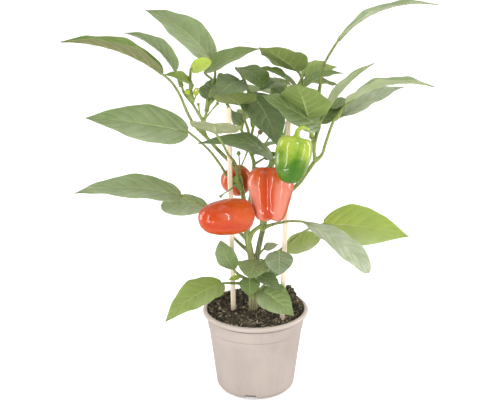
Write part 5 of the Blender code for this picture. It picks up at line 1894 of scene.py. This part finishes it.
def tip_parts(tip, green, dry, cream):
    """What sits on the end of a thin stalk: a dry cup, a withered flower, a bead, bud or flower."""
    end = Vector(tip.route[-1])
    along = end - Vector(tip.route[-2])
    if tip.kind == "cup":
        return [mark_young(open_cup(tip.route, tip.size, green), 0.0)]
    if tip.kind == "withered":
        size = tip.size * 0.8
        return [mark_young(round_tip("withered", end, along, size, size, dry, 0.4), 0.0)]
    longer = 1.4 if tip.kind == "flower" else 1.0
    bud = round_tip("bud", end, along, tip.size, tip.size * longer, green, 0.15)
    made = [mark_young(bud, 0.2 if tip.kind == "bead" else 1.0)]
    if tip.kind == "flower":
        made += [mark_young(part, 0.0) for part in petals(end, along, tip.size, cream)]
    return made


class PEPPER_OT_calyxes(bpy.types.Operator):
    """Make the fruit stalks with their calyxes, the buds, the flower and the dry cups"""
    bl_idname = "pepper.calyxes"
    bl_label = "Calyxes and buds"

    def execute(self, context):
        young = context.scene.pepper_leaves.young
        green = fleshy_skin("calyx_skin", 90.0, CALYX_COLOURS, 0.42, 0.15, young)
        dry = soil_crumbs("dry_flower", *DRY_COLOURS, 0.7)
        cream = fleshy_skin("petal_skin", 200.0, PETAL_COLOURS, 0.6, 0.3)
        parts = {node: [] for node in LEAVES}
        for one, route, node in FRUIT_STALKS:
            yellow = 0.8 if one is GREEN else 0.15
            parts[node].append(mark_young(fruit_stalk(one, route, green), yellow))
        for tip in TIPS:
            parts[tip.node] += tip_parts(tip, green, dry, cream)
        for node, made in parts.items():
            if made:
                piece = join(node.replace("_stem", "_calyxes"), made)
                finish_piece(piece, "foliage", node)
        return {"FINISHED"}


# Stage

def soft_box(name, place, size, power):
    """Area light that looks at the plant."""
    light = bpy.data.lights.new(name, "AREA")
    light.shape = "RECTANGLE"
    light.size, light.size_y = size
    light.energy = power
    obj = new_object(name, light)
    obj.location = place
    obj.rotation_euler = (Vector(LIGHT_TARGET) - Vector(place)).to_track_quat("-Z", "Y").to_euler()


def make_camera(scene):
    """Camera at the place the plant is seen from."""
    camera = bpy.data.cameras.new("camera")
    camera.lens = CAMERA_LENS
    camera.sensor_width = 36.0
    camera.shift_x = CAMERA_SHIFT
    view = new_object("camera", camera)
    view.location = CAMERA_PLACE
    view.rotation_euler = (math.pi / 2 - CAMERA_PITCH, 0, 0)
    scene.camera = view


def make_floor(settings):
    """Plain floor, dimmed for mirror rays and brightened where the camera sees it."""
    material, tree, shader = new_material("studio_floor")
    clouds = use_group(tree, "Mottle", scale=1.5, fine_scale=400.0)
    paler = tuple(min(1.0, part * 1.03) for part in settings.floor)
    ray = new_node(tree, "ShaderNodeLightPath")
    shade = blend(tree, clouds["Clouds"], settings.floor, paler)
    mirrored = calc(tree, "MULTIPLY", ray["Is Glossy Ray"], MIRROR_DIM)
    fit(tree, shader, {
        "Base Color": blend(tree, mirrored, shade, BLACK), "Roughness": 0.9,
        "Emission Color": blend(tree, ray["Is Camera Ray"], BLACK, WHITE),
        "Emission Strength": settings.glow})
    corners = [(x * FLOOR_REACH, y * FLOOR_REACH, 0)
               for x, y in ((-1, -1), (1, -1), (1, 1), (-1, 1))]
    floor = mesh_object("floor", corners, [(0, 1, 2, 3)], [material])


def make_world(settings):
    """Even light from all round, stronger behind the plant and dimmed for mirror rays."""
    world = bpy.data.worlds.new("studio")
    world.use_nodes = True
    tree = world.node_tree
    way = new_node(tree, "ShaderNodeSeparateXYZ", {
        0: new_node(tree, "ShaderNodeTexCoord")["Generated"]})
    even = ramp(tree, way[1], -1.0, 0.6, FRONT_DIM * settings.sky, BACK_BRIGHT * settings.sky,
                "LINEAR")
    ray = new_node(tree, "ShaderNodeLightPath")
    mirrored = calc(tree, "MULTIPLY_ADD", ray["Is Glossy Ray"], -MIRROR_DIM, 1.0)
    seen = calc(tree, "MULTIPLY", ray["Is Camera Ray"], 1.0 + settings.glow)
    strength = calc(tree, "MAXIMUM", calc(tree, "MULTIPLY", even, mirrored), seen)
    fit(tree, tree.nodes["Background"], {"Color": (*WHITE, 1.0), "Strength": strength})
    return world


class PEPPER_OT_stage(bpy.types.Operator):
    """Set up the plain floor, the soft light and the camera"""
    bl_idname = "pepper.stage"
    bl_label = "Stage"

    def execute(self, context):
        settings = context.scene.pepper_stage
        scene = context.scene
        make_camera(scene)
        make_floor(settings)
        scene.world = make_world(settings)
        scene.view_settings.view_transform = "Standard"
        for boxes, power in ((SOFT_BOXES, settings.key), (STRIPS, settings.gleam)):
            for name, place, size, share in boxes:
                soft_box(name, place, size, power * share)
        return {"FINISHED"}


OPERATORS = (PEPPER_OT_pot, PEPPER_OT_soil, PEPPER_OT_canes, PEPPER_OT_stems, PEPPER_OT_leaves,
             PEPPER_OT_fruits, PEPPER_OT_calyxes, PEPPER_OT_stage)


class PEPPER_PT_panel(bpy.types.Panel):
    """Sidebar panel with the plant's pieces and their settings"""
    bl_idname = "PEPPER_PT_panel"
    bl_label = "Sweet pepper"
    bl_space_type = "VIEW_3D"
    bl_region_type = "UI"
    bl_category = "Sweet pepper"

    def draw(self, context):
        layout = self.layout
        for operator in OPERATORS:
            layout.operator(operator.bl_idname)
        for name, group in SETTINGS.items():
            box = layout.box()
            for key in group.__annotations__:
                box.prop(getattr(context.scene, name), key)


def register():
    """Register the settings, the operators and the panel."""
    for group in SETTINGS.values():
        bpy.utils.register_class(group)
    for name, group in SETTINGS.items():
        setattr(bpy.types.Scene, name, bpy.props.PointerProperty(type=group))
    for operator in OPERATORS:
        bpy.utils.register_class(operator)
    bpy.utils.register_class(PEPPER_PT_panel)


def unregister():
    """Take the panel, the operators and the settings away again."""
    bpy.utils.unregister_class(PEPPER_PT_panel)
    for operator in reversed(OPERATORS):
        bpy.utils.unregister_class(operator)
    for name, group in SETTINGS.items():
        delattr(bpy.types.Scene, name)
        bpy.utils.unregister_class(group)


def main():
    """Build the whole plant and its stage."""
    register()
    for group in (vein_group, mottle_group, streak_group, speck_group, height_group, stem_tree,
                  scatter_tree):
        group()
    bpy.ops.pepper.stage()
    bpy.ops.pepper.pot()
    bpy.ops.pepper.soil()
    bpy.ops.pepper.canes()
    bpy.ops.pepper.stems()
    bpy.ops.pepper.leaves()
    bpy.ops.pepper.fruits()
    bpy.ops.pepper.calyxes()


if __name__ == "__main__":
    main()
